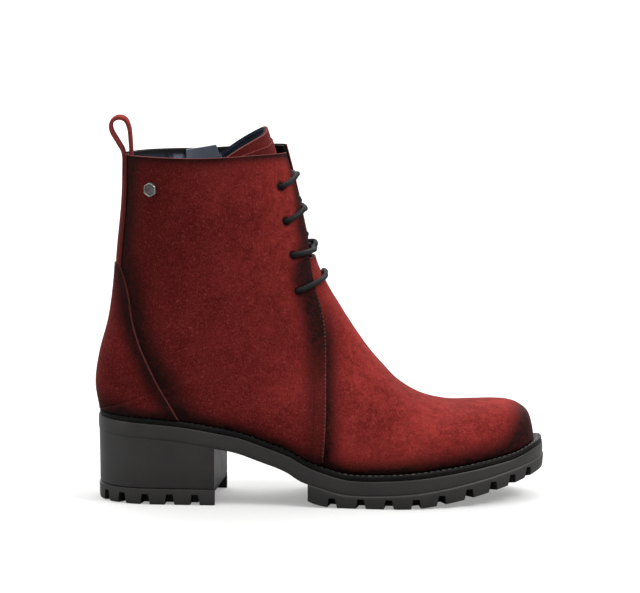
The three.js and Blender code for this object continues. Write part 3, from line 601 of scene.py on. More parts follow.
def sheet(outer: Array, inner: Array, marks: dict[str, Array], seam_rows: Array | None = None) -> Shell:
    """A closed piece of leather: two grids of points and a rim between their borders.

    The rim has a line of points a third of the way in, so that only its outer part can look raw.

    Args:
        outer: the outer face, rows by columns by three.
        inner: the inner face.
        marks: values on the outer grid, such as how burnished and how darkened by painted shade the leather
            is.
        seam_rows: rows whose last column is left open, because another sheet is welded to it there.

    Returns:
        The shell, with finish 0 outside and on the rim and 1 inside.
    """
    rows, columns = outer.shape[:2]
    total = rows * columns
    face, index = quads(rows, columns), np.arange(total).reshape(rows, columns)
    flat_outer, flat_inner = outer.reshape(-1, 3), inner.reshape(-1, 3)
    points, faces, count = [flat_outer, flat_inner], [face, face[:, ::-1] + total], 2 * total
    values = {k: [v.ravel(), v.ravel()] for k, v in marks.items()}
    for number, border in enumerate((index[0, ::-1], index[:, 0], index[-1, :], index[::-1, -1])):
        kept = np.ones(len(border) - 1, bool)
        if number == 3 and seam_rows is not None:
            sewn = seam_rows[::-1]
            kept = ~(sewn[:-1] & sewn[1:])
        middle = count + np.arange(len(border))
        points.append(mix(flat_outer[border], flat_inner[border], 0.35))
        for near, far in ((border, middle), (middle, border + total)):
            faces.append(np.stack([near[:-1], near[1:], far[1:], far[:-1]], axis=-1)[kept])
        for key, value in marks.items():
            values[key].append(RIM_MARKS.get(key, value.ravel()[border]) + 0 * value.ravel()[border])
        count += len(border)
    rim = sum(len(f) for f in faces[2:])
    finish = np.concatenate([np.zeros(len(face)), np.ones(len(face)), np.zeros(rim)]).astype(int)
    for key in RIM_MARKS.keys() & values.keys():
        values[key][1] = np.full(total, RIM_MARKS[key])
    made = {k: np.concatenate(v) for k, v in values.items()}
    return Shell(np.vstack(points), np.vstack(faces), made, finish)


def stack(levels: Array) -> Shell:
    """A closed solid of loops of points, one over the other, with ladders of faces across both ends.

    Args:
        levels: loops by points by three. Point i of a loop faces point n - 1 - i across it.

    Returns:
        The shell.
    """
    count, n = levels.shape[:2]
    i = np.arange(n // 2 - 1)
    ladder = np.stack([i, i + 1, n - 2 - i, n - 1 - i], axis=-1)
    faces = np.vstack([quads(count, n, wrap=True), ladder, ladder[:, ::-1] + (count - 1) * n])
    return Shell(levels.reshape(-1, 3), faces)


def ring(profiles: Array) -> Shell:
    """A closed band: loops of points one after the other, the last joined to the first.

    Args:
        profiles: loops by points by three.

    Returns:
        The shell.
    """
    count, n = profiles.shape[:2]
    faces = quads(count + 1, n, wrap=True) % (count * n)
    return Shell(profiles.reshape(-1, 3), faces)


def tube(path: Array, width: float, height: float, sides: int, up: Array, power: float = 2.0) -> Shell:
    """A closed strap or cord: a superellipse section carried along a path, with rounded ends.

    Args:
        path: points of the middle line.
        width: size of the section across the path and square to up.
        height: its size along up.
        sides: points round the section.
        up: direction at each point of the path, or one for all.
        power: exponent of the section, 2 for round and more for a flat strap.

    Returns:
        The shell, with uv as round the section and along the path in millimetres.
    """
    forward = np.gradient(path, axis=0)
    forward /= np.linalg.norm(forward, axis=1, keepdims=True)
    up = np.broadcast_to(up, path.shape)
    across = np.cross(forward, up)
    across /= np.linalg.norm(across, axis=1, keepdims=True)
    lift = np.cross(across, forward)
    angle = np.linspace(0, 2 * np.pi, sides, endpoint=False)
    c, s = np.cos(angle), np.sin(angle)
    u = np.sign(c) * np.abs(c) ** (2 / power) * width / 2
    v = np.sign(s) * np.abs(s) ** (2 / power) * height / 2
    ends = [(-1.0, 0.35), (-0.75, 0.78), (-0.35, 0.96)]
    centre, scale, at = [], [], []
    for sink, size in ends:
        centre.append(path[0] + forward[0] * (sink + 0.35) * height / 2)
        scale.append(size)
        at.append(0)
    centre += list(path)
    scale += [1.0] * len(path)
    at += list(range(len(path)))
    for sink, size in reversed(ends):
        centre.append(path[-1] - forward[-1] * (sink + 0.35) * height / 2)
        scale.append(size)
        at.append(len(path) - 1)
    centre, scale = np.array(centre), np.array(scale)[:, None, None]
    section = across[at][:, None] * u[None, :, None] + lift[at][:, None] * v[None, :, None]
    levels = centre[:, None] + section * scale
    shell = stack(levels)
    length = np.concatenate([[0], np.cumsum(np.linalg.norm(np.diff(centre, axis=0), axis=1))])
    body = quads(len(centre), sides, wrap=True)
    row, column = body // sides, body % sides
    turn = column + np.where((column[:, :1] == sides - 1) & (column == 0), sides, 0)
    uv = np.stack([turn / sides, length[row]], axis=-1)
    caps = np.zeros((len(shell.faces) - len(body), 4, 2))
    shell.uv = np.concatenate([uv, caps])
    return shell


def joined(shells: Sequence[Shell]) -> Shell:
    """Several shells as one, with the marks that they all have.

    Args:
        shells: the shells.

    Returns:
        One shell.
    """
    sizes = np.cumsum([0, *[len(s.points) for s in shells]])
    names = set.intersection(*[set(s.marks) for s in shells])
    finish = [s.finish if s.finish is not None else np.zeros(len(s.faces), int) for s in shells]
    uv = None
    if all(s.uv is not None for s in shells):
        uv = np.concatenate([s.uv for s in shells])
    return Shell(
        np.vstack([s.points for s in shells]),
        np.vstack([s.faces + n for s, n in zip(shells, sizes)]),
        {k: np.concatenate([s.marks[k] for s in shells]) for k in sorted(names)},
        np.concatenate(finish),
        uv,
    )


def capsules(starts: Array, ends: Array, normals: Array, width: float, sunk: float) -> Shell:
    """Many short threads as one mesh: each an ellipsoid of 5 rings of 6 points, half sunk in the leather.

    Args:
        starts: one end of each stitch.
        ends: the other end.
        normals: outward direction at each stitch.
        width: thickness of the thread.
        sunk: how far its middle lies under the surface.

    Returns:
        The shell.
    """
    along = ends - starts
    length = np.linalg.norm(along, axis=1, keepdims=True)
    forward = along / length
    side = np.cross(forward, normals)
    side /= np.linalg.norm(side, axis=1, keepdims=True)
    lift = np.cross(side, forward)
    middle = (starts + ends) / 2 - lift * sunk
    station = np.array([-1, -0.86, -0.45, 0.45, 0.86, 1.0])
    radius = np.array([0.12, 0.62, 1, 1, 0.62, 0.12]) * width / 2
    angle = np.linspace(0, 2 * np.pi, 6, endpoint=False)
    reach = middle[:, None, None] + (forward * length / 2)[:, None, None] * station[None, :, None, None]
    across = side[:, None, None] * np.cos(angle)[None, None, :, None]
    rise = lift[:, None, None] * np.sin(angle)[None, None, :, None]
    levels = reach + (across + rise) * radius[None, :, None, None]
    one = stack(levels[0])
    count = levels.shape[1] * levels.shape[2]
    faces = one.faces[None] + (np.arange(len(levels)) * count)[:, None, None]
    return Shell(levels.reshape(-1, 3), faces.reshape(-1, 4))


def build(
    name: str,
    shell: Shell,
    last: Last,
    materials: Sequence[Material],
    sharp: float | None = None,
) -> bpy.types.Object:
    """Puts a shell into a mesh, in metres in the model's frame, and lets it ride on the boot.

    Doubled points are merged, which closes poles and seams, and the faces are turned outward.

    Args:
        name: the piece's name.
        shell: its points and faces.
        last: the form whose origin the points are measured from.
        materials: the finishes, in the order of the shell's finish numbers.
        sharp: angle in degrees past which an edge stays sharp, or None for smooth all over.

    Returns:
        The finished object.
    """
    mesh = bpy.data.meshes.new(name)
    points = (shell.points + last.origin) * 0.001
    mesh.vertices.add(len(points))
    mesh.vertices.foreach_set("co", points.astype(np.float32).ravel())
    mesh.loops.add(shell.faces.size)
    mesh.loops.foreach_set("vertex_index", shell.faces.astype(np.int32).ravel())
    mesh.polygons.add(len(shell.faces))
    mesh.polygons.foreach_set("loop_start", np.arange(0, shell.faces.size, 4, dtype=np.int32))
    mesh.polygons.foreach_set("loop_total", np.full(len(shell.faces), 4, np.int32))
    if shell.finish is not None:
        mesh.polygons.foreach_set("material_index", shell.finish.astype(np.int32))
    for key, value in shell.marks.items():
        mesh.attributes.new(key, "FLOAT", "POINT").data.foreach_set("value", value.astype(np.float32))
    if shell.uv is not None:
        mesh.uv_layers.new(name="thread").data.foreach_set("uv", shell.uv.astype(np.float32).ravel())
    mesh.update(calc_edges=True)
    work = bmesh.new()
    work.from_mesh(mesh)
    bmesh.ops.remove_doubles(work, verts=work.verts, dist=2e-6)
    bmesh.ops.recalc_face_normals(work, faces=work.faces)
    work.to_mesh(mesh)
    work.free()
    piece = bpy.data.objects.new(name, mesh)
    bpy.context.scene.collection.objects.link(piece)
    for material in materials:
        mesh.materials.append(material)
    smooth(piece, sharp)
    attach(piece, "root")
    return piece


def smooth(piece: bpy.types.Object, sharp: float | None) -> None:
    """Shades a piece smoothly, with edges past an angle in degrees kept sharp.

    Args:
        piece: the piece.
        sharp: the angle, or None for smooth all over.
    """
    mesh = piece.data
    mesh.polygons.foreach_set("use_smooth", np.ones(len(mesh.polygons), bool))
    if sharp is not None:
        mesh.set_sharp_from_angle(angle=math.radians(sharp))
    mesh.update()


def cut(piece: bpy.types.Object, cutter: Shell, last: Last, how: str = "DIFFERENCE") -> None:
    """Cuts one mesh with another, exactly, and keeps the result in the piece's mesh.

    Args:
        piece: what is cut.
        cutter: the closed solids that cut it.
        last: the form whose origin the cutter is measured from.
        how: DIFFERENCE, UNION or INTERSECT.
    """
    tool = build("cutter", cutter, last, [])
    modifier = piece.modifiers.new("cut", "BOOLEAN")
    modifier.operation, modifier.object, modifier.solver = how, tool, "EXACT"
    graph = bpy.context.evaluated_depsgraph_get()
    made = bpy.data.meshes.new_from_object(piece.evaluated_get(graph), depsgraph=graph)
    piece.modifiers.clear()
    old, piece.data = piece.data, made
    bpy.data.meshes.remove(old)
    tool_mesh = tool.data
    bpy.data.objects.remove(tool)
    bpy.data.meshes.remove(tool_mesh)


class Nodes:
    """Adds nodes to a node tree and links them."""

    def __init__(self, tree: bpy.types.NodeTree) -> None:
        """Keeps the tree."""
        self.tree = tree

    def put(self, socket: Socket, value: object) -> None:
        """Links a socket into another, or sets its value.

        Args:
            socket: the input.
            value: a socket, a number, a vector or a colour of three numbers.
        """
        if isinstance(value, Socket):
            self.tree.links.new(value, socket)
        elif isinstance(value, tuple) and len(value) == 3 and socket.type == "RGBA":
            socket.default_value = (*value, 1.0)
        else:
            socket.default_value = value

    def add(
        self, kind: str, inputs: dict[str | int, object] | None = None, **settings: object
    ) -> bpy.types.Node:
        """Adds a node.

        Args:
            kind: the node's type.
            inputs: a value or a socket for each named or numbered input.
            settings: the node's own properties.

        Returns:
            The node.
        """
        node = self.tree.nodes.new(kind)
        for key, value in settings.items():
            setattr(node, key, value)
        for key, value in (inputs or {}).items():
            self.put(node.inputs[key], value)
        return node

    def noise(
        self, scale: float, detail: float, vector: Socket, rough: float = 0.5, swirl: object = 0.0
    ) -> Socket:
        """Noise between about 0.3 and 0.7, at a scale in waves a metre."""
        inputs = {"Vector": vector, "Scale": scale, "Detail": detail, "Roughness": rough, "Distortion": swirl}
        return self.add("ShaderNodeTexNoise", inputs).outputs["Fac"]

    def math(self, how: str, a: object, b: object = 0.0, c: object = 0.0) -> Socket:
        """The result of one sum on two or three values."""
        return self.add("ShaderNodeMath", {0: a, 1: b, 2: c}, operation=how).outputs[0]

    def span(
        self, value: object, low: float, high: float, to_low: float = 0.0, to_high: float = 1.0
    ) -> Socket:
        """A value moved from one range to another and held within it."""
        inputs = {"Value": value, 1: low, 2: high, 3: to_low, 4: to_high}
        return self.add("ShaderNodeMapRange", inputs).outputs["Result"]

    def blend(self, share: object, a: object, b: object, how: str = "MIX") -> Socket:
        """Two colours mixed by a share.

        Args:
            share: 0 for a and 1 for b.
            a: a colour or a socket.
            b: a colour or a socket.
            how: the blend's type.

        Returns:
            The colour.
        """
        node = self.add("ShaderNodeMix", data_type="RGBA", blend_type=how)
        for number, value in ((0, share), (6, a), (7, b)):
            self.put(node.inputs[number], value)
        return node.outputs[2]

    def bump(self, height: object, strength: float, distance: float) -> Socket:
        """A normal from a height, with the depth in metres of its whole range."""
        inputs = {"Height": height, "Strength": strength, "Distance": distance}
        return self.add("ShaderNodeBump", inputs).outputs[0]

    def mark(self, name: str) -> Socket:
        """A mark on the mesh's points, as a value."""
        return self.add("ShaderNodeAttribute", attribute_name=name).outputs["Fac"]

    def place(self, scale: tuple[float, float, float] | None = None) -> Socket:
        """Object coordinates in metres, stretched if a scale is given.

        Args:
            scale: a factor for each axis, or None.

        Returns:
            The coordinates.
        """
        where = self.add("ShaderNodeTexCoord").outputs["Object"]
        if scale is None:
            return where
        return self.add("ShaderNodeMapping", {"Vector": where, "Scale": scale}).outputs[0]


def group(
    name: str, ins: dict[str, tuple[str, object]], outs: dict[str, str]
) -> tuple[bpy.types.NodeTree, Nodes]:
    """An empty shader group with named inputs and outputs.

    Args:
        name: the group's name.
        ins: a socket type and a default for each input.
        outs: a socket type for each output.

    Returns:
        The group and the helper that fills it.
    """
    tree = bpy.data.node_groups.new(name, "ShaderNodeTree")
    for key, (kind, value) in ins.items():
        socket = tree.interface.new_socket(key, in_out="INPUT", socket_type=kind)
        socket.default_value = value
    for key, kind in outs.items():
        tree.interface.new_socket(key, in_out="OUTPUT", socket_type=kind)
    return tree, Nodes(tree)


FLOAT, COLOUR = "NodeSocketFloat", "NodeSocketColor"


def once(make: Callable[[], bpy.types.NodeTree]) -> Callable[[], bpy.types.NodeTree]:
    """Makes a group at its first use and gives back the same one after that.

    Args:
        make: what makes the group.

    Returns:
        What gives the group.
    """
    kept: list[bpy.types.NodeTree] = []

    def give() -> bpy.types.NodeTree:
        """The one group.

        Returns:
            The group.
        """
        if not kept:
            kept.append(make())
        return kept[0]

    return give


@once
def nap_group() -> bpy.types.NodeTree:
    """Brushed nap: broad clouds, swirled brush marks, fine grain and sparse pale fibre ends.

    Returns:
        The group.
    """
    tree, n = group(
        "brushed_nap",
        {"Swirl": (FLOAT, 1.4)},
        {"Mottle": FLOAT, "Grain": FLOAT, "Fibres": FLOAT, "Height": FLOAT},
    )
    swirl = n.add("NodeGroupInput").outputs["Swirl"]
    where = n.place()
    broad = n.noise(28, 3, where)
    patches = n.noise(105, 4, where, 0.6, swirl)
    marks = n.noise(300, 3, where, 0.62, swirl)
    grain = n.noise(1150, 2, where, 0.7)
    fibres = n.noise(980, 1, n.place((1.0, 1.0, 0.8)), 0.5, 0.8)
    clouds = n.math("MULTIPLY_ADD", broad, 0.3, n.math("MULTIPLY", patches, 0.38))
    mottle = n.math("MULTIPLY_ADD", marks, 0.32, clouds)
    out = n.add("NodeGroupOutput")
    n.put(out.inputs["Mottle"], n.span(mottle, 0.4, 0.6))
    n.put(out.inputs["Grain"], n.span(grain, 0.3, 0.7))
    n.put(out.inputs["Fibres"], n.span(fibres, 0.6, 0.7))
    n.put(out.inputs["Height"], n.math("MULTIPLY_ADD", marks, 0.5, grain))
    return tree


@once
def burnish_and_shade_group() -> bpy.types.NodeTree:
    """Dark burnish and painted shade laid in where the mark says, a little broken up, and the leather's pale
    raw edge.

    Returns:
        The group.
    """
    tree, n = group(
        "burnish_and_shade",
        {
            "Leather": (COLOUR, (0.2, 0.02, 0.02, 1)),
            "Burnt": (COLOUR, (0.01, 0.006, 0.005, 1)),
            "Raw": (COLOUR, (0.3, 0.16, 0.12, 1)),
            "Break up": (FLOAT, 0.3),
            "Mottle": (FLOAT, 0.5),
        },
        {"Color": COLOUR, "Amount": FLOAT},
    )
    ins = n.add("NodeGroupInput").outputs
    broken = n.math("MULTIPLY", n.math("SUBTRACT", ins["Mottle"], 0.5), ins["Break up"])
    burn = n.mark("burn")
    soft = n.math("MULTIPLY", broken, n.span(burn, 0.0, 0.35))
    amount = n.span(n.math("ADD", burn, soft), 0.02, 1.0)
    dark = n.blend(amount, ins["Leather"], ins["Burnt"])
    out = n.add("NodeGroupOutput")
    n.put(out.inputs["Color"], n.blend(n.mark("raw"), dark, ins["Raw"]))
    n.put(out.inputs["Amount"], amount)
    return tree


@once
def pore_group() -> bpy.types.NodeTree:
    """The fine surface of smooth leather or moulded rubber: small cells and soft waves.

    Returns:
        The group.
    """
    tree, n = group(
        "pores",
        {"Cells": (FLOAT, 1400.0), "Waves": (FLOAT, 60.0)},
        {"Height": FLOAT, "Smear": FLOAT},
    )
    ins = n.add("NodeGroupInput").outputs
    where = n.place()
    cells = n.add("ShaderNodeTexVoronoi", {"Vector": where, "Scale": ins["Cells"]}).outputs["Distance"]
    waves = n.noise(ins["Waves"], 4.0, where)
    out = n.add("NodeGroupOutput")
    n.put(out.inputs["Height"], n.math("MULTIPLY_ADD", cells, 0.35, n.math("MULTIPLY", waves, 0.6)))
    n.put(out.inputs["Smear"], n.span(waves, 0.35, 0.65))
    return tree


def new_material(name: str) -> tuple[Material, Nodes, bpy.types.Node]:
    """An empty material, its node helper and its Principled shader.

    Args:
        name: the material's name.

    Returns:
        The material, the helper and the shader.
    """
    material = bpy.data.materials.new(name)
    material.use_nodes = True
    material.node_tree.nodes.clear()
    n = Nodes(material.node_tree)
    shader = n.add("ShaderNodeBsdfPrincipled")
    n.add("ShaderNodeOutputMaterial", {"Surface": shader.outputs["BSDF"]})
    return material, n, shader


@dataclass(frozen=True)
class Suede:
    """Brushed suede with a burnished edge and painted shade laid in the same dark, darker at the back of the
    boot and warmer and brighter towards the toe, partly its own colour and partly painted light.
    """

    name: str
    # The back colours are darker and the front ones warmer and brighter, partly the suede's own colour and
    # partly painted light: painted shade towards the back of the shaft, brighter where the vamp and toe face
    # the light.
    deep: Colour = (0.078, 0.0062, 0.0062)
    mid: Colour = (0.124, 0.0114, 0.0108)
    deep_front: Colour = (0.122, 0.0102, 0.0092)
    mid_front: Colour = (0.262, 0.0262, 0.0222)
    pale: Colour = (0.36, 0.076, 0.067)
    # The dark of the burnish, also laid in as painted shade.
    burnt: Colour = (0.0125, 0.0042, 0.0037)
    raw: Colour = (0.23, 0.066, 0.060)
    break_up: float = 0.4
    roughness: float = 0.95
    sheen: float = 0.1
    nap_depth: float = 0.0003

    def material(self) -> Material:
        """The finish as a material.

        Returns:
            The material.
        """
        material, n, shader = new_material(self.name)
        nap = n.add("ShaderNodeGroup", node_tree=nap_group()).outputs
        # This mark blends back to front colours, partly the suede's own colour and partly painted light and
        # shade.
        front = n.mark("tone")
        low = n.blend(front, self.deep, self.deep_front)
        high = n.blend(front, self.mid, self.mid_front)
        tone = n.blend(nap["Mottle"], low, high)
        darker = n.blend(n.span(nap["Grain"], 0.0, 0.5, 0.34, 0.0), tone, low)
        grained = n.blend(n.span(nap["Grain"], 0.5, 1.0, 0.0, 0.2), darker, self.pale)
        fuzzy = n.blend(n.math("MULTIPLY", nap["Fibres"], 0.26), grained, self.pale)
        finish = n.add(
            "ShaderNodeGroup",
            {
                "Leather": fuzzy,
                "Burnt": self.burnt,
                "Raw": self.raw,
                "Break up": self.break_up,
                "Mottle": nap["Mottle"],
            },
            node_tree=burnish_and_shade_group(),
        )
        n.put(shader.inputs["Base Color"], finish.outputs["Color"])
        n.put(shader.inputs["Roughness"], n.span(finish.outputs["Amount"], 0.0, 1.0, self.roughness, 0.7))
        n.put(shader.inputs["Normal"], n.bump(nap["Height"], 1.0, self.nap_depth))
        shader.inputs["Sheen Weight"].default_value = self.sheen
        shader.inputs["Sheen Roughness"].default_value = 0.4
        shader.inputs["Sheen Tint"].default_value = (1.0, 0.36, 0.34, 1)
        shader.inputs["Specular IOR Level"].default_value = 0.04
        return material


@dataclass(frozen=True)
class Smooth:
    """Smooth leather, rubber or thread: one colour with a paler smear, fine pores and some gloss."""

    name: str
    colour: Colour
    smear: Colour
    roughness: float = 0.5
    roughness_smear: float = 0.62
    cells: float = 1400.0
    waves: float = 60.0
    depth: float = 0.00008
    specular: float = 0.5
    metallic: float = 0.0

    def material(self) -> Material:
        """The finish as a material.

        Returns:
            The material.
        """
        material, n, shader = new_material(self.name)
        pores = n.add("ShaderNodeGroup", {"Cells": self.cells, "Waves": self.waves}, node_tree=pore_group())
        n.put(shader.inputs["Base Color"], n.blend(pores.outputs["Smear"], self.colour, self.smear))
        gloss = n.span(pores.outputs["Smear"], 0.0, 1.0, self.roughness, self.roughness_smear)
        n.put(shader.inputs["Roughness"], gloss)
        n.put(shader.inputs["Normal"], n.bump(pores.outputs["Height"], 0.6, self.depth))
        shader.inputs["Specular IOR Level"].default_value = self.specular
        shader.inputs["Metallic"].default_value = self.metallic
        return material


@dataclass(frozen=True)
class Lining:
    """Dark cloth-backed lining with a fine twill, black where painted shade falls inside the boot and along
    its seams, and paler on its tapes.
    """

    name: str
    colour: Colour = (0.021, 0.026, 0.043)
    tape: Colour = (0.185, 0.215, 0.30)
    shade: Colour = (0.0035, 0.0035, 0.004)
    rib: float = 1250.0
    roughness: float = 0.62
    depth: float = 0.00014

    def material(self) -> Material:
        """The finish as a material.

        Returns:
            The material.
        """
        material, n, shader = new_material(self.name)
        where = n.place()
        ribs = n.add("ShaderNodeTexWave", {"Vector": where, "Scale": self.rib / 6, "Distortion": 0.6})
        ribs.bands_direction = "DIAGONAL"
        clouds = n.noise(90, 3, where)
        plain = n.blend(n.span(clouds, 0.3, 0.7), self.colour, tuple(1.7 * c for c in self.colour))
        taped = n.blend(n.mark("tape"), plain, self.tape)
        n.put(shader.inputs["Base Color"], n.blend(n.mark("shade"), taped, self.shade))
        n.put(shader.inputs["Roughness"], n.span(clouds, 0.3, 0.7, self.roughness, self.roughness + 0.12))
        height = n.math("MULTIPLY_ADD", ribs.outputs["Fac"], 0.4, clouds)
        n.put(shader.inputs["Normal"], n.bump(height, 0.7, self.depth))
        shader.inputs["Specular IOR Level"].default_value = 0.25
        return material


@dataclass(frozen=True)
class Braid:
    """Round braided cord: two sets of strands that wind the other way round each other, with painted
    highlight on the strands' crowns and painted shade between them.
    """

    name: str
    colour: Colour = (0.0022, 0.0024, 0.0026)
    strand_highlight: Colour = (0.0115, 0.0128, 0.014)
    strands: float = 5.0
    pitch: float = 5.2
    depth: float = 0.0003

    def material(self) -> Material:
        """The finish as a material, on the cord's own uv: round it, and along it in millimetres.

        Returns:
            The material.
        """
        material, n, shader = new_material(self.name)
        uv = n.add("ShaderNodeUVMap", uv_map="thread").outputs[0]
        parts = n.add("ShaderNodeSeparateXYZ", {0: uv}).outputs
        turn = n.math("MULTIPLY", parts["X"], 2 * math.pi * self.strands)
        run = n.math("MULTIPLY", parts["Y"], 2 * math.pi * self.strands / self.pitch)
        left = n.math("SINE", n.math("ADD", turn, run))
        right = n.math("SINE", n.math("SUBTRACT", turn, run))
        over = n.math("MAXIMUM", left, right)
        height = n.span(over, -0.6, 1.0)
        fuzz = n.noise(2600, 2, n.place())
        # Painted highlight and shade: the strands' crowns lighter, the gaps between them darker.
        tone = n.math("MULTIPLY", height, n.span(fuzz, 0.3, 0.7, 0.5, 1.0))
        n.put(shader.inputs["Base Color"], n.blend(tone, self.colour, self.strand_highlight))
        n.put(shader.inputs["Roughness"], n.span(height, 0.0, 1.0, 0.85, 0.6))
        n.put(shader.inputs["Normal"], n.bump(height, 0.8, self.depth))
        shader.inputs["Sheen Weight"].default_value = 0.02
        shader.inputs["Specular IOR Level"].default_value = 0.2
        return material


@dataclass(frozen=True)
class Palette:
    """The boot's finishes."""

    suede: Material
    strap: Material
    flesh: Material
    lining: Material
    flap: Material
    rubber: Material
    tread: Material
    welt: Material
    lace: Material
    thread: Material
    edge_thread: Material
    welt_thread: Material
    nickel: Material
    field: Material
    sock: Material

    @staticmethod
    def make() -> "Palette":
        """All the finishes, made once.

        Returns:
            The palette.
        """
        return Palette(
            suede=Suede("burgundy_suede").material(),
            strap=Suede("strap_suede", deep=(0.12, 0.012, 0.0115), mid=(0.19, 0.021, 0.019)).material(),
            flesh=Smooth("flesh_side", (0.014, 0.007, 0.007), (0.024, 0.012, 0.011), 0.85, 0.95).material(),
            lining=Lining("lining").material(),
            flap=Smooth("flap_lining", (0.092, 0.106, 0.138), (0.13, 0.15, 0.195), 0.45, 0.6).material(),
            rubber=Smooth(
                "black_rubber", (0.0200, 0.0178, 0.0172), (0.026, 0.0235, 0.0226), 0.40, 0.5, 2200
            ).material(),
            tread=Smooth(
                "tread_rubber", (0.0180, 0.0162, 0.0156), (0.026, 0.0236, 0.0226), 0.5, 0.62, 1800
            ).material(),
            welt=Smooth(
                "welt_leather", (0.0042, 0.0036, 0.0034), (0.0075, 0.0064, 0.006), 0.5, 0.6, 900,
                specular=0.12,
            ).material(),
            lace=Braid("lace_cord").material(),
            thread=Smooth(
                "dark_thread", (0.009, 0.003, 0.0028), (0.034, 0.011, 0.010), 0.75, 0.85, 3000, 420,
                specular=0.15,
            ).material(),
            edge_thread=Smooth(
                "edge_thread", (0.05, 0.015, 0.014), (0.17, 0.068, 0.06), 0.7, 0.8, 3000, 420, specular=0.2
            ).material(),
            # Its pale smear is partly the thread's own pale colour and partly a painted highlight, standing
            # for the bright line along the welt's edge.
            welt_thread=Smooth(
                "welt_thread", (0.012, 0.011, 0.0105), (0.14, 0.13, 0.118), 0.4, 0.5, 3000, 300
            ).material(),
            nickel=Smooth(
                "aged_nickel", (0.34, 0.33, 0.31), (0.56, 0.55, 0.52), 0.28, 0.42, 1500, metallic=1.0
            ).material(),
            field=Smooth(
                "stud_field", (0.055, 0.054, 0.052), (0.16, 0.157, 0.15), 0.4, 0.5, 1500, 500, metallic=1.0
            ).material(),
            sock=Smooth("sock_leather", (0.020, 0.019, 0.019), (0.032, 0.03, 0.029), 0.6, 0.7).material(),
        )


LEAD = np.array([0, 0.12, 0.3, 0.6, 1.0])  # the first columns stand so far from a cut edge, in millimetres


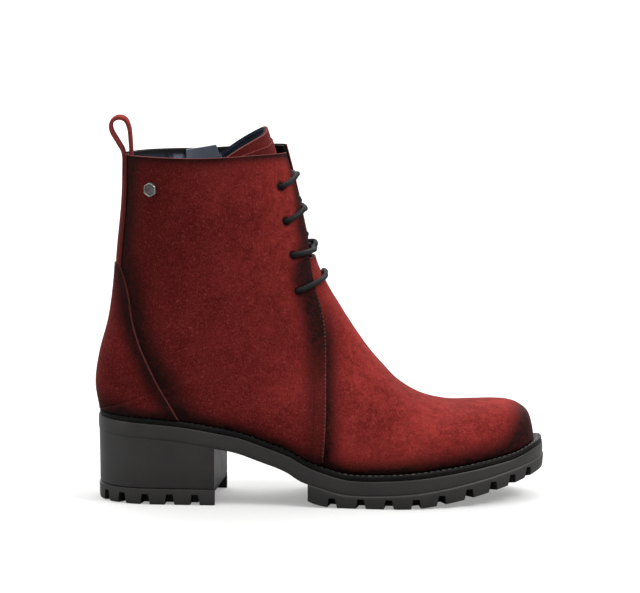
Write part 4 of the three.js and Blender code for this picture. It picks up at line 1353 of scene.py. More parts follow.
@dataclass
class Upper:
    """The leather pieces of the upper, cut and laid on the last."""

    last: Last
    palette: Palette
    leather: float = 1.2
    lining_outside: float = -1.36
    wall: float = 2.2
    overlay: float = 1.6
    counter_step: float = 0.9
    edge_round: float = 0.55
    underlap: float = 8
    hole_diameter: float = 4.2
    backstay_width: float = 20.5
    strap_width: float = 16
    strap_thickness: float = 2.3
    loop_height: float = 22.5
    tongue_reach: float = 0.46
    tongue_foot: float = 6.6
    tongue_gap: float = 0.9
    tongue_thickness: float = 2.4
    tongue_lean: float = 6
    tongue_press: float = 4.2
    collar_mm: float = 27.6  # millimetres a section near the collar
    overlay_mm: float = 22  # the same at the overlays' top edges
    tongue_mm: float = 24  # the same on the tongue
    tongue_turn_mm: float = 90  # millimetres round the tongue a turn

    def roll(self, distance: Array) -> Array:
        """How far a cut edge's outer corner is rounded away: r - sqrt(r^2 - (r - d)^2).

        Args:
            distance: from the edge.

        Returns:
            The depth.
        """
        r = self.edge_round
        d = np.clip(distance, 0, r)
        return r - np.sqrt(r * r - (r - d) ** 2)

    def rows(self, first: float, end: float, count: int, cut_first: bool = True) -> Array:
        """Sections from an edge, close together beside it and then even."""
        lead = first + LEAD / self.collar_mm if cut_first else np.array([first])
        return np.concatenate([lead, mix(lead[-1], end, np.linspace(0, 1, count + 1)[1:])])

    def turns(self, s: Array, edge: Array, far: Array | float, side: Side, count: int) -> Array:
        """Turns from a cut edge to the far side of a piece.

        Args:
            s: the sections, one a row.
            edge: the turn of the edge in each row, without its sign.
            far: the turn of the far side.
            side: which side of the boot.
            count: even columns after those beside the edge.

        Returns:
            The turns, rows by columns, with their sign.
        """
        far = np.broadcast_to(far, edge.shape)
        step = 0.01 * np.sign(far - edge + 1e-12)
        rate = np.linalg.norm(
            self.last.point(s, side.value * (edge + step)) - self.last.point(s, side.value * edge), axis=-1
        ) / 0.01
        width = np.abs(far - edge) * rate
        lead = LEAD[None, :] * np.minimum(1, width / 4)[:, None]
        first = edge[:, None] + np.sign(step)[:, None] * lead / rate[:, None]
        even = np.linspace(0, 1, count + 1)[None, 1:]
        rest = first[:, -1:] + (far[:, None] - first[:, -1:]) * even
        return side.value * np.hstack([first, rest])

    def front_edge(self, s: Array, side: Side) -> Array:
        """Turn of the quarter's front edge: beside the throat above, and the seam's line below.

        Args:
            s: the sections.
            side: which side of the boot.

        Returns:
            The turn in each section, without its sign.
        """
        half, crest = self.last.throat_width / 2, self.last.curve("crest")(1.0)

        def beside_throat(p: Array) -> Array:
            """Positive within the throat."""
            return half - side.value * (p[..., 1] - crest)

        def before_seam(p: Array) -> Array:
            """Positive in front of the seam."""
            return -self.last.behind_quarter_edge(p[..., 0], p[..., 2])

        throat = self.last.turn_where(s, side, beside_throat)
        seam = self.last.turn_where(s, side, before_seam)
        return np.maximum(throat, seam)

    def creases(self, points: Array) -> Array:
        """Soft troughs where the boot bends: over the ball, and behind and above the ankle.

        Each is a line seen from the side, with a rounded trough across it that fades towards its ends.

        Args:
            points: points of the form.

        Returns:
            How deep each point is pressed in.
        """
        x, z = points[..., 0], points[..., 2]
        lines = table(
            "x z slope width length depth",
            (192, 62, -0.9, 5.5, 30, 0.3), (203, 55, -0.8, 4.5, 24, 0.22), (176, 78, -0.75, 6, 26, 0.2),
            (74, 104, 0.35, 8, 34, 0.4), (92, 122, 0.25, 7, 30, 0.28), (52, 92, 0.6, 7, 24, 0.25),
        )
        depth = np.zeros_like(x)
        for at_x, at_z, slope, width, length, trough in zip(*lines.values()):
            turn = math.atan(slope)
            dx, dz = x - at_x, z - at_z
            along = dx * math.cos(turn) + dz * math.sin(turn)
            across = dz * math.cos(turn) - dx * math.sin(turn)
            bell = fade(across, width, 2) - 0.45 * fade(across, width * 2.1, 2)
            depth += trough * bell * fade(along, length, 2)
        return depth

    def welt_burn_and_shade(self, points: Array) -> Array:
        """Burnish and painted shade at the foot of the upper along the welt, wider towards the toe, and
        burnish over the toe's tip.

        Args:
            points: points of the form.

        Returns:
            The mask.
        """
        x, z = points[..., 0], points[..., 2]
        height = z - self.last.welt_top(x)
        share = x / self.last.sole_length
        width = 6.0 + 3.0 * smoothstep(share, 0.45, 0.9) + 4.2 * (1 - smoothstep(share, 0.0, 0.13))
        band = 0.99 * np.exp(-((np.maximum(height, 0) / width) ** 2.3))
        tip = 0.99 * smoothstep(x - (height - 8) * 0.42, 235, 254)
        return any_of(band, tip)

    def counter_burn(self, points: Array) -> Array:
        """Burnish on both sides of the counter's edge, wider in front of it and towards the sole.

        Args:
            points: points of the form.

        Returns:
            The mask.
        """
        z = points[..., 2]
        distance = self.last.ahead_of_counter(points[..., 0], z)
        high = 0.69 * self.last.collar_height
        ahead = 10.5 * (1.45 - 0.45 * smoothstep(z, 60, 112))
        behind = 7.2 + 2.0 * (1 - smoothstep(z, 58, 92))
        widths = np.where(distance > 0, ahead, behind)
        return 0.95 * np.exp(-((np.abs(distance) / widths) ** 2.8)) * (1 - smoothstep(z, high, high + 8))

    def tone(self, points: Array) -> Array:
        """How far the suede has the front's warmer, brighter colour, which rises from the shaft's back to the
        vamp: partly its own colour and partly painted light where the vamp and toe face the light.
        """
        return smoothstep(points[..., 0] + 0.25 * (points[..., 2] - 100), 40, 170)

    def raw(self, distance: Array) -> Array:
        """The pale raw line on the rounded corner of a cut edge."""
        return np.interp(distance, [0, 0.1, 0.24, 0.4], [1, 0.9, 0.35, 0])

    def quarter(self, side: Side) -> tuple[Shell, Shell]:
        """One quarter and its lining, from the collar to the sole and from the back seam to the front edge.

        Args:
            side: which side of the boot.

        Returns:
            The leather and the lining.
        """
        last = self.last
        s = self.rows(last.collar_row, 14.4, 190)
        edge = self.front_edge(s, side)
        t = self.turns(s, edge, 1.0, side, 84)
        grid = s[:, None] + np.zeros_like(t)
        flat = last.point(grid, t)
        raised = last.quarter_raise(flat[..., 0], flat[..., 2])
        step = np.linalg.norm(np.diff(flat, axis=1), axis=-1)
        from_edge = np.hstack([np.zeros((len(s), 1)), np.cumsum(step, axis=1)])
        from_back = from_edge[:, -1:] - from_edge
        drop = np.linalg.norm(np.diff(flat, axis=0), axis=-1)
        from_collar = np.vstack([np.zeros((1, t.shape[1])), np.cumsum(drop, axis=0)])
        x, z = flat[..., 0], flat[..., 2]
        outside = raised - self.creases(flat) - self.roll(np.minimum(from_edge, from_collar))
        wave = 0.25 * np.sin(x / 17 + side.value) * fade(from_collar, 14)
        outer = last.point(grid, t, outside + wave)
        inner = last.point(grid, t, raised - self.creases(flat) - self.leather + wave)
        low = 0.56 + 0.44 * smoothstep(z, 66, 100)
        behind = last.behind_quarter_edge(x, z)
        seam = 0.95 * fade(behind, 13, 5) * low * (1 - smoothstep(z, 136, 150))
        reach = np.interp(z, [124, 152, 161, 170, 184, 201], [13, 12.3, 11.2, 9, 5.6, 4])
        flap = np.interp(z, [124, 134, 184, 201], [0, 0.95, 0.93, 0.7]) * fade(from_edge, reach, 4)
        collar = any_of(0.85 * fade(from_collar, 3, 2.2), 0.4 * fade(from_collar, 7, 1.5))
        past_stay = np.maximum(from_back - 11.5, 0)
        stay = 0.95 * fade(past_stay, 8.6, 2.6) * smoothstep(z, 128, 148)
        # Painted shade: the rear part of the shaft darker, laid in with the burnish.
        shade = 0.34 * fade(past_stay, 24, 1.6) * smoothstep(z, 100, 140)
        burn = any_of(seam, flap, collar, stay, shade, self.welt_burn_and_shade(flat), self.counter_burn(flat))
        cut_edge = np.minimum(from_edge, from_collar)
        marks = {"burn": burn, "raw": self.raw(cut_edge), "tone": self.tone(flat)}
        leather = sheet(outer, inner, marks)
        below = np.maximum(grid, last.collar_row + 0.6 / self.collar_mm)
        tucked = side.value * (np.abs(t) + 0.008 * (1 - smoothstep(from_edge, 0, 8)))
        tucked = np.clip(tucked, -1, 1)
        bands = table("start end", (43.5, 50.8), (72.6, 77.4))
        spans = zip(*bands.values())
        tape = sum(smoothstep(x, a - 0.6, a) * (1 - smoothstep(x, b, b + 0.6)) for a, b in spans)
        seams = sum(fade(x - at, 0.8, 2) for at in (39.8, 42.6, 51.8, 71.6, 78.4))
        inside = {
            "tape": tape * smoothstep(from_collar, 2.5, 4),
            # The shade mark: painted shade along the top band and deep in the throat towards the front edge,
            # and the dark lines of the lining's seams.
            "shade": any_of(fade(from_collar, 4, 4), fade(from_edge, 26, 6), 0.8 * seams),
        }
        lining = sheet(
            last.point(below, tucked, np.minimum(self.lining_outside, raised - self.leather - 0.05)),
            last.point(below, tucked, -self.wall),
            inside,
        )
        return leather, lining

    def vamp(self) -> tuple[Shell, Shell]:
        """The vamp and its lining, over the foot from the throat to the toe and under the quarters' edges.

        Returns:
            The leather and the lining.
        """
        last = self.last
        top = float(last.locate(127.0, last.throat_bottom + 7.0, Side.LATERAL)[0])
        over_toe = mix(19.5, last.toe_row, np.linspace(0, 1, 61)[1:] ** 0.8)
        s = np.concatenate([self.rows(top, 19.5, 120), over_toe])
        edges = []
        for side in Side:
            seam = self.front_edge(s, side)
            ahead = self.last.point(s, side.value * (seam + 0.01)) - self.last.point(s, side.value * seam)
            rate = np.linalg.norm(ahead, axis=-1) / 0.01
            edges.append(side.value * np.minimum(1, seam + self.underlap / np.maximum(rate, 1)))
        across = np.linspace(0, 1, 151)[None, :]
        t = edges[0][:, None] + (edges[1] - edges[0])[:, None] * across
        grid = s[:, None] + np.zeros_like(t)
        flat = last.point(grid, t)
        x, z = flat[..., 0], flat[..., 2]
        behind = last.behind_quarter_edge(x, z)
        under = (last.quarter_raise(x, z) - self.leather - 0.06) * smoothstep(behind, -1.2, 0.2)
        from_top = (grid - s[0]) * self.collar_mm * 0.5
        outside = under - self.creases(flat) * (1 - smoothstep(behind, -6, 0)) - self.roll(from_top)
        ahead = np.maximum(-behind, 0)
        # Darker in front of the quarter's edge and round the creases over the ball.
        seam = 0.94 * fade(ahead, 7.0, 2.2) * (1 - 0.8 * smoothstep(z, 96, 128))
        flex = 0.16 * fade(np.hypot(x - 181, (z - 70) * 0.8), 15)
        burn = any_of(seam, flex, self.welt_burn_and_shade(flat), 0.6 * fade(from_top, 2.2))
        leather = sheet(
            last.point(grid, t, outside),
            last.point(grid, t, under - self.leather),
            {"burn": burn, "raw": 0.6 * self.raw(from_top), "tone": self.tone(flat)},
        )
        facing = last.point(grid, t, np.minimum(self.lining_outside, under - self.leather - 0.03))
        none = np.zeros_like(x)[::2, ::2]
        hidden = last.point(grid, t, -self.wall)[::2, ::2]
        return leather, sheet(facing[::2, ::2], hidden, {"tape": none, "shade": none})

    def overlay_halves(
        self, first: float, end: float, edge_of: Callable[[Array, Side], Array], more: float
    ) -> Shell:
        """An overlay round the back: two mirrored sheets that are welded along the back seam.

        Args:
            first: section of its top edge.
            end: section where it ends below.
            edge_of: turn of its front edge in each section, on one side.
            more: how much further it stands out over the back seam.

        Returns:
            The shell.
        """
        last = self.last
        halves = []
        for side in Side:
            s = self.rows(first, end, 120)
            t = self.turns(s, edge_of(s, side), 1.0, side, 44)
            grid = s[:, None] + np.zeros_like(t)
            flat = last.point(grid, t)
            step = np.linalg.norm(np.diff(flat, axis=1), axis=-1)
            from_edge = np.hstack([np.zeros((len(s), 1)), np.cumsum(step, axis=1)])
            from_top = (grid - s[0]) * self.overlay_mm
            out = self.overlay + more * (1 - smoothstep(flat[..., 0], 9, 22))
            near = np.minimum(from_edge, from_top)
            outside = out - self.roll(near)
            on_counter = any_of(self.welt_burn_and_shade(flat), self.counter_burn(flat))
            burn = on_counter if more else 0.3 + 0.4 * fade(near, 2)
            marks = {"burn": burn, "raw": 0.35 * self.raw(near), "tone": self.tone(flat)}
            outer, inner = last.point(grid, t, outside), last.point(grid, t, 0.05)
            halves.append(sheet(outer, inner, marks, s <= last.heel_row))
        return joined(halves)

    def counter(self) -> Shell:
        """The counter, from its top edge over the backstay down round the heel to the sole.

        Returns:
            The shell.
        """

        def edge(s: Array, side: Side) -> Array:
            """Turn of the counter's front edge."""
            return self.last.turn_where(s, side, lambda p: self.last.ahead_of_counter(p[..., 0], p[..., 2]))

        top = float(self.last.locate(12.5, 0.687 * self.last.collar_height, Side.LATERAL)[0])
        return self.overlay_halves(top, 12.05, edge, self.counter_step)

    def backstay(self) -> Shell:
        """The strip up the back seam, from under the counter's top edge to the collar.

        Returns:
            The shell.
        """
        half = self.backstay_width / 2

        def edge(s: Array, side: Side) -> Array:
            """Turn of the strip's edge, always behind the widest point.

            Args:
                s: the sections.
                side: which side of the boot.

            Returns:
                The turn in each section, without its sign.
            """
            low = np.full_like(s, 0.7)
            high = np.ones_like(s)
            for _ in range(30):
                middle = (low + high) / 2
                wide = np.abs(self.last.point(s, side.value * middle)[..., 1]) > half
                low, high = np.where(wide, middle, low), np.where(wide, high, middle)
            return low

        return self.overlay_halves(self.last.collar_row, 3.45, edge, 0.0)

    def loop(self) -> Shell:
        """The pull loop: the strap turned over the collar, a flat section carried along its route.

        Returns:
            The shell.
        """
        last = self.last
        route = table(
            "x z",
            (0.02, -0.5), (0, 0.08), (-0.14, 0.34), (-0.32, 0.68), (-0.3, 0.88), (-0.136, 0.985),
            (0.05, 0.935), (0.15, 0.74), (0.19, 0.4), (0.21, 0), (0.21, -0.6),
        )
        seam = float(last.curve("back_x")(1.0)) - self.overlay / 2
        x, z = seam + route["x"] * self.loop_height, last.collar_height + route["z"] * self.loop_height
        path = smooth_path(np.stack([x, np.zeros_like(x), z], axis=1), 90)
        forward = np.gradient(path, axis=0)
        out = np.cross(forward, np.array([0.0, 1.0, 0.0]))
        out /= np.linalg.norm(out, axis=1, keepdims=True)
        shell = tube(path, self.strap_width, self.strap_thickness, 40, out, 6.0)
        away = np.abs(shell.points[:, 1]) / (self.strap_width / 2)
        low = 1 - smoothstep(shell.points[:, 2], last.collar_height - 2, last.collar_height + 9)
        shell.marks = {"burn": 0.5 * low, "raw": 0.25 * smoothstep(away, 0.93, 1.0), "tone": 0.6 + 0 * away}
        shell.uv = None
        return shell

    def tongue_sheet(
        self, top: float, side_top: float, reach: float, foot: float, out: float, thick: float
    ) -> Shell:
        """A sheet inside the throat: its top edge falls off to both sides, and it leans in at the collar.

        Args:
            top: section of its top edge in the middle.
            side_top: section of its top edge at its sides.
            reach: turn of its sides.
            foot: section of its lower end.
            out: offset of its outer face from the last.
            thick: its thickness.

        Returns:
            The shell.
        """
        last = self.last
        t = reach * np.linspace(-1, 1, 81)[None, :]
        share = np.concatenate([[0, 0.002, 0.005, 0.01, 0.016], np.linspace(0.016, 1, 90)[1:]])[:, None]
        start = mix(top, side_top, (np.abs(t) / reach) ** 1.9)
        s = start + (foot - start) * share
        t = np.broadcast_to(t, s.shape)
        flat = last.point(s, t, out)
        from_top = (s - start) * self.tongue_mm
        from_side = (reach - np.abs(t)) * self.tongue_turn_mm
        near = np.minimum(from_top, from_side)

        def lay(offset: Array | float) -> Array:
            """The form at an offset, leaning in above the collar.

            Args:
                offset: how far the form is grown.

            Returns:
                The points.
            """
            p = last.point(s, t, offset)
            z = p[..., 2]
            pressed = smoothstep(z, 118, 136) * (1 - smoothstep(z, 196, 206)) * fade(t, 0.3, 3)
            p[..., 0] -= self.tongue_press * pressed
            p[..., 0] -= self.tongue_lean * smoothstep(z, 0.84 * last.collar_height, last.collar_height)
            return p

        # Evenly darker, darker still at the edges where burnished, and painted shade on the lower part, deep
        # in the throat.
        burn = any_of(0.34 + 0 * near, 0.25 * fade(near, 3), 0.35 * smoothstep(-flat[..., 2], -200, -150))
        marks = {"burn": burn, "raw": 0.7 * self.raw(near), "tone": 0.35 + 0 * near}
        return sheet(lay(out - self.roll(near)), lay(out - thick), marks)

    def tongue(self) -> Shell:
        """The tongue and the second layer on its front, whose edge shows over the collar.

        Returns:
            The shell.
        """
        out = -self.wall - self.tongue_gap
        thick = self.tongue_thickness
        body = self.tongue_sheet(0.33, 1.12, self.tongue_reach, self.tongue_foot, out, thick)
        patch = self.tongue_sheet(0.74, 1.16, self.tongue_reach * 0.97, 3.5, out + 0.8, 0.9)
        return joined([body, patch])

    def tongue_ribs(self) -> Shell:
        """The bound edge inside the tongue: close threads over its top edge.

        Returns:
            The shell.
        """
        last = self.last
        t = np.linspace(-0.98, 0.98, 78) * self.tongue_reach
        s = mix(0.33, 1.12, (np.abs(t) / self.tongue_reach) ** 1.9) + 0.05
        out = -self.wall - self.tongue_gap - self.tongue_thickness - 0.05

        def lay(step: float) -> Array:
            """Points on the tongue's inner face, leaning in as it does.

            Args:
                step: how many sections further down.

            Returns:
                The points.
            """
            p = last.point(s + step, t, out)
            z = p[..., 2]
            p[..., 0] -= self.tongue_lean * smoothstep(z, 0.84 * last.collar_height, last.collar_height)
            return p

        return capsules(lay(0.0), lay(0.1), -last.normal(s, t), 1.0, 0.12)

    def inner_flap(self) -> Shell:
        """The lining flap that stands over the collar, a thin sheet on the inner side of the wall.

        Returns:
            The shell.
        """
        last = self.last
        u = np.linspace(0, 1, 41)[None, :]
        v = np.concatenate([[0, 0.004, 0.01, 0.02], np.linspace(0.02, 1, 34)[1:]])[:, None]
        across = mix(0.192, 0.275, u)
        top = mix(1.006, 1.021, np.clip(u / 0.85, 0, 1)) - 0.045 * smoothstep(u, 0.85, 1.0) ** 1.4
        x = np.broadcast_to(across, (len(v), u.shape[1])) * last.sole_length
        z = mix(top, 0.6, v) * last.collar_height
        s, t = last.locate(x, z, Side.MEDIAL)
        near = -self.wall - 0.3
        return sheet(last.point(s, t, near), last.point(s, t, near - 1.4), {})

    def punches(self) -> Shell:
        """Round punches through the wall at the lace holes, 20-sided.

        Returns:
            The closed solids that cut the holes.
        """
        last = self.last
        tools = []
        for side in Side:
            x = LACE_HOLES["x"] * last.sole_length
            s, t = last.locate(x, LACE_HOLES["z"] * last.collar_height, side)
            centre, normal = last.point(s, t), last.normal(s, t)
            for c, n in zip(centre, normal):
                side_way = np.cross(n, [0, 0, 1.0])
                side_way /= np.linalg.norm(side_way)
                up = np.cross(side_way, n)
                angle = np.linspace(0, 2 * np.pi, 20, endpoint=False)[:, None]
                round_it = (side_way * np.cos(angle) + up * np.sin(angle)) * self.hole_diameter / 2
                tools.append(stack(np.stack([c + round_it + n * 5, c + round_it - n * 5])))
        return joined(tools)

    def darken_holes(self, piece: bpy.types.Object) -> None:
        """Burnishes the rim of each lace hole, on the mesh's own points.

        Args:
            piece: the quarter.
        """
        mesh = piece.data
        co = np.zeros(len(mesh.vertices) * 3, np.float32)
        mesh.vertices.foreach_get("co", co)
        points = co.reshape(-1, 3) * 1000 - self.last.origin
        burn = np.zeros(len(mesh.vertices), np.float32)
        mesh.attributes["burn"].data.foreach_get("value", burn)
        for side in Side:
            x = LACE_HOLES["x"] * self.last.sole_length
            s, t = self.last.locate(x, LACE_HOLES["z"] * self.last.collar_height, side)
            for centre in self.last.point(s, t):
                gap = np.linalg.norm(points - centre, axis=1) - self.hole_diameter / 2
                burn = np.maximum(burn, 0.95 * np.exp(-((np.maximum(gap, 0) / 0.9) ** 2)))
        mesh.attributes["burn"].data.foreach_set("value", burn.astype(np.float32))

    def make(self) -> None:
        """Builds and dresses all the leather pieces."""
        last, palette = self.last, self.palette
        linings = []
        for side in Side:
            leather, lining = self.quarter(side)
            linings.append(lining)
            piece = build(f"quarter_{side.name.lower()}", leather, last, [palette.suede, palette.flesh])
            cut(piece, self.punches(), last)
            self.darken_holes(piece)
            smooth(piece, 50)
        leather, lining = self.vamp()
        linings.append(lining)
        build("vamp", leather, last, [palette.suede, palette.flesh], 50)
        inside = build("lining", joined(linings), last, [palette.lining, palette.lining], 50)
        cut(inside, self.punches(), last)
        smooth(inside, 50)
        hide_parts("upper")
        counter = build("heel_counter", self.counter(), last, [palette.suede, palette.flesh], 50)
        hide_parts("counter")
        stay = build("backstay", self.backstay(), last, [palette.strap, palette.flesh], 50)
        loop = build("pull_loop", self.loop(), last, [palette.strap], 50)
        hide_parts("pull_strap")
        tongue = build("soft_tongue", self.tongue(), last, [palette.suede, palette.lining], 50)
        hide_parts("tongue")
        ribs = build("tongue_binding", self.tongue_ribs(), last, [palette.lining])
        flap = build("collar_flap", self.inner_flap(), last, [palette.flap, palette.flap], 50)
        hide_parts("inner_flap")


def there_and_back(x: Array, centre: Array, half: Array, z: Array) -> Array:
    """One closed loop: out along the outer side and back along the inner side.

    Args:
        x: distances from the heel.
        centre: y of the middle line at each.
        half: half width at each.
        z: height at each.

    Returns:
        The loop's points.
    """
    outer = np.stack([x, centre - half, z], axis=1)
    return np.vstack([outer, np.stack([x, centre + half, z], axis=1)[::-1]])


@dataclass
class Bottom:
    """Sole, heel, welt and insole."""

    last: Last
    palette: Palette
    welt_thickness: float = 3.2
    welt_width: float = 9
    welt_step: float = 0.8
    heel_length: float = 74
    breast_turn: float = 0.1
    top_piece_height: float = 9.6
    hollow_height: float = 8.2
    heel_inset: float = 0.4
    clearance: float = 0.3
    tread_depth: float = 5.8
    lug_pitch: float = 16.4
    lug_ring: float = 16
    groove_mouth: float = 6.0
    groove_roof: float = 4.0
    stations: int = 190

    def around(self, inset: Inset, start: float | None = None) -> Array:
        """Distances from the heel along one side of an outline, close together at its round ends.

        Args:
            inset: how far the outline stands in.
            start: where a part of the outline starts, or None for all of it.

        Returns:
            The distances.
        """
        end = self.last.sole_length - inset.toe
        share = np.linspace(0, 1, self.stations)
        if start is None:
            return inset.heel + (end - inset.heel) * mix(share, (1 - np.cos(np.pi * share)) / 2, 0.93)
        return start + (end - start) * mix(share, np.sin(np.pi / 2 * share), 0.93)

    def loop(self, inset: Inset, height: Callable[[Array], Array], start: float | None = None) -> Array:
        """One closed loop: out along the outer side to the toe, and back along the inner side.

        Args:
            inset: how far the outline stands in.
            height: the height at each distance from the heel.
            start: where a part of the outline starts, or None for all of it.

        Returns:
            The loop's points.
        """
        x = self.around(inset, start)
        centre, half = self.last.plan(x, inset)
        return there_and_back(x, centre, half, height(x) + np.zeros_like(x))

    def heel_loop(self, inset: float, height: Callable[[Array], Array]) -> Array:
        """A loop round the heel alone, closed by the slanted front face.

        Args:
            inset: how far the outline stands in.
            height: the height at each distance from the heel.

        Returns:
            The loop's points.
        """
        last = self.last
        sides = []
        even = np.linspace(0, 1, self.stations)
        share = mix(even, np.sin(np.pi / 2 * even), 0.9)
        for side in Side:
            front = self.heel_length
            for _ in range(12):
                centre, half = last.plan(np.array(front), Inset.even(inset))
                front = self.heel_length + self.breast_turn * float(centre + side.value * half)
            x = front + (inset - front) * share
            centre, half = last.plan(x, Inset.even(inset))
            sides.append(np.stack([x, centre + side.value * half, height(x) + np.zeros_like(x)], axis=1))
        return np.vstack([sides[0], sides[1][::-1]])

    def groove(self, x: float, side: Side, length: float, floor: float, depth: float) -> Shell:
        """A tapered groove at the tread's edge, running in square to the outline.

        Args:
            x: where it starts on the outline.
            side: which side of the boot.
            length: how far it runs in.
            floor: height of its mouth.
            depth: how deep it is.

        Returns:
            The closed solid that cuts it.
        """
        last = self.last

        def edge(at: float) -> float:
            """Where the edge lies."""
            centre, half = last.plan(np.array(at), Inset.even(0))
            return float(centre + side.value * half)

        slope = edge(x + 0.5) - edge(x - 0.5)
        inward = side.value * np.array([slope, -1.0, 0.0]) / math.hypot(slope, 1.0)
        across = np.array([-inward[1], inward[0], 0.0])
        mouth, roof = self.groove_mouth / 2, self.groove_roof / 2
        outline = ((-mouth, -4), (mouth, -4), (mouth, 0), (roof, depth), (-roof, depth), (-mouth, 0))
        section = np.array(outline)
        base = np.array([x, edge(x), floor])
        flat = across[None] * section[:, :1] + np.array([[0, 0, 1.0]]) * section[:, 1:]
        return stack(np.stack([base + flat - inward * 4, base + flat + inward * length]))

    def diamond(self, x: float, floor: float, size: float) -> Shell:
        """A diamond lug: a four-sided frustum, wider at its root.

        Args:
            x: distance of its middle from the heel.
            floor: height of its foot.
            size: half its length.

        Returns:
            The shell.
        """
        y = float(self.last.plan(np.array(x), Inset.even(0))[0])
        corner = np.array([(1, 0), (0, 1), (-1, 0), (0, -1)], float)
        levels = []
        for share, z in ((0.72, 0.0), (0.74, 0.4), (1.0, self.tread_depth)):
            loop = np.hstack([corner * size * share, np.full((4, 1), floor + z + (0.35 if z == 0 else 0))])
            levels.append(loop + np.array([x, y, 0]))
        return stack(np.array(levels))

    def plate(self) -> Shell:
        """The sidewall: loops from its lower edge up to the seat of the welt, with softened corners.

        Returns:
            The shell.
        """
        last, seat = self.last, self.welt_step + self.welt_width + self.clearance
        low = last.sidewall_bottom

        def high(x: Array) -> Array:
            """Height of the welt's underside."""
            return last.welt_top(x) - self.welt_thickness

        levels = [
            (8.0, low),
            (1.4, low),
            (0.75, lambda x: low(x) + 0.18),
            (0.3, lambda x: low(x) + 0.7),
            (0.05, lambda x: low(x) + 1.5),
            (0.0, lambda x: mix(low(x), high(x), 0.5)),
            (0.1, lambda x: high(x) - 1.3),
            (0.16, lambda x: high(x) - 0.5),
            (0.4, lambda x: high(x) - 0.12),
            (0.9, high),
            (seat, high),
            (seat, last.welt_top),
        ]
        return stack(np.array([self.loop(Inset.even(i), h) for i, h in levels]))

    def pad(self) -> Shell:
        """The tread under the forefoot, standing out a little past the sidewall.

        Returns:
            The shell.
        """
        last = self.last
        floor, wall = last.tread_bottom, last.sidewall_bottom

        def top(x: Array) -> Array:
            """Height at which the tread meets the sidewall."""
            return np.maximum(floor(x) + 1.5, wall(x) - 0.4)

        levels = [
            (0.9, floor),
            (0.4, lambda x: floor(x) + 0.2),
            (0.0, lambda x: floor(x) + 1.1),
            (-0.4, lambda x: mix(floor(x) + 1.3, top(x), 0.7)),
            (-0.5, lambda x: top(x) - 0.3),
            (-0.42, lambda x: top(x) + 0.05),
            (-0.1, lambda x: top(x) + 0.2),
            (0.5, lambda x: np.maximum(floor(x) + 2, wall(x) + 0.8)),
        ]
        return stack(np.array([self.loop(Inset.even(i), h, last.tread_start) for i, h in levels]))

    def make_outsole(self) -> None:
        """The tread, hollowed inside its ring of lugs and grooved, and the sidewall over it."""
        last, length = self.last, self.last.sole_length
        tread = build("forefoot_tread", self.pad(), last, [self.palette.tread])
        x = np.linspace(last.tread_flat - 18, length * 0.93, self.stations)
        centre, half = last.plan(x, Inset.even(self.lug_ring))
        heights = (np.full_like(x, -8.0), last.tread_bottom(x) + self.tread_depth - 1)
        cut(tread, stack(np.array([there_and_back(x, centre, half, z) for z in heights])), last)
        tools = []
        for at in (share * length for share in TREAD_GROOVES):
            floor = float(last.tread_bottom(at))
            tools += [self.groove(at, side, self.lug_ring - 3, floor, self.tread_depth) for side in Side]
        cut(tread, joined(tools), last)
        lugs = np.arange(last.tread_flat - 3, 0.89 * length, self.lug_pitch)
        cut(tread, joined([self.diamond(x, float(last.tread_bottom(x)), 9) for x in lugs]), last, "UNION")
        smooth(tread, 35)
        wall = build("sidewall", self.plate(), last, [self.palette.rubber], 40)
        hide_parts("outsole")
        LOG.info("outsole: %d and %d faces", len(tread.data.polygons), len(wall.data.polygons))

    def make_heel(self) -> None:
        """The heel block and its cleated top piece."""
        last = self.last
        seam, gap, under = self.top_piece_height, self.clearance, last.sidewall_bottom
        levels = [
            (self.heel_inset + 1.6, lambda x: seam + gap),
            (self.heel_inset + 0.75, lambda x: seam + gap + 0.12),
            (self.heel_inset + 0.5, lambda x: seam + gap + 0.6),
            (self.heel_inset + 0.3, lambda x: mix(seam, under(x), 0.5)),
            (self.heel_inset + 0.05, lambda x: under(x) - 1.0),
            (self.heel_inset, lambda x: under(x) + 0.4),
        ]
        loops = [self.heel_loop(i, h) for i, h in levels]
        block = build("heel_block", stack(np.array(loops)), last, [self.palette.rubber], 40)
        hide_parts("heel")
        levels = [
            (self.heel_inset + 1.1, 0.0),
            (self.heel_inset + 0.6, 0.2),
            (self.heel_inset + 0.25, 0.9),
            (self.heel_inset + 0.1, 2.5),
            (self.heel_inset, seam - 0.8),
            (self.heel_inset + 0.15, seam - 0.25),
            (self.heel_inset + 0.7, seam),
        ]
        loops = [self.heel_loop(i, lambda x, z=z: np.full_like(x, z)) for i, z in levels]
        lift = build("cleated_lift", stack(np.array(loops)), last, [self.palette.tread])
        x = np.linspace(self.lug_ring - 2, self.heel_length + 12, self.stations)
        centre, half = last.plan(x, Inset.even(self.lug_ring - 2))
        half = half + 10 * smoothstep(x, 58, 66)
        heights = (np.full_like(x, -8.0), np.full_like(x, self.hollow_height))
        cut(lift, stack(np.array([there_and_back(x, centre, half, z) for z in heights])), last)
        for at in LIFT_GROOVES:
            for side in Side:
                cut(lift, self.groove(at, side, 8 if at < 20 else 11, 0.0, self.tread_depth + 0.6), last)
        cut(lift, joined([self.diamond(self.heel_length * k, 0.0, 8) for k in (0.36, 0.62)]), last, "UNION")
        smooth(lift, 35)
        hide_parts("top_piece")
        LOG.info("heel: %d faces in the lift", len(lift.data.polygons))

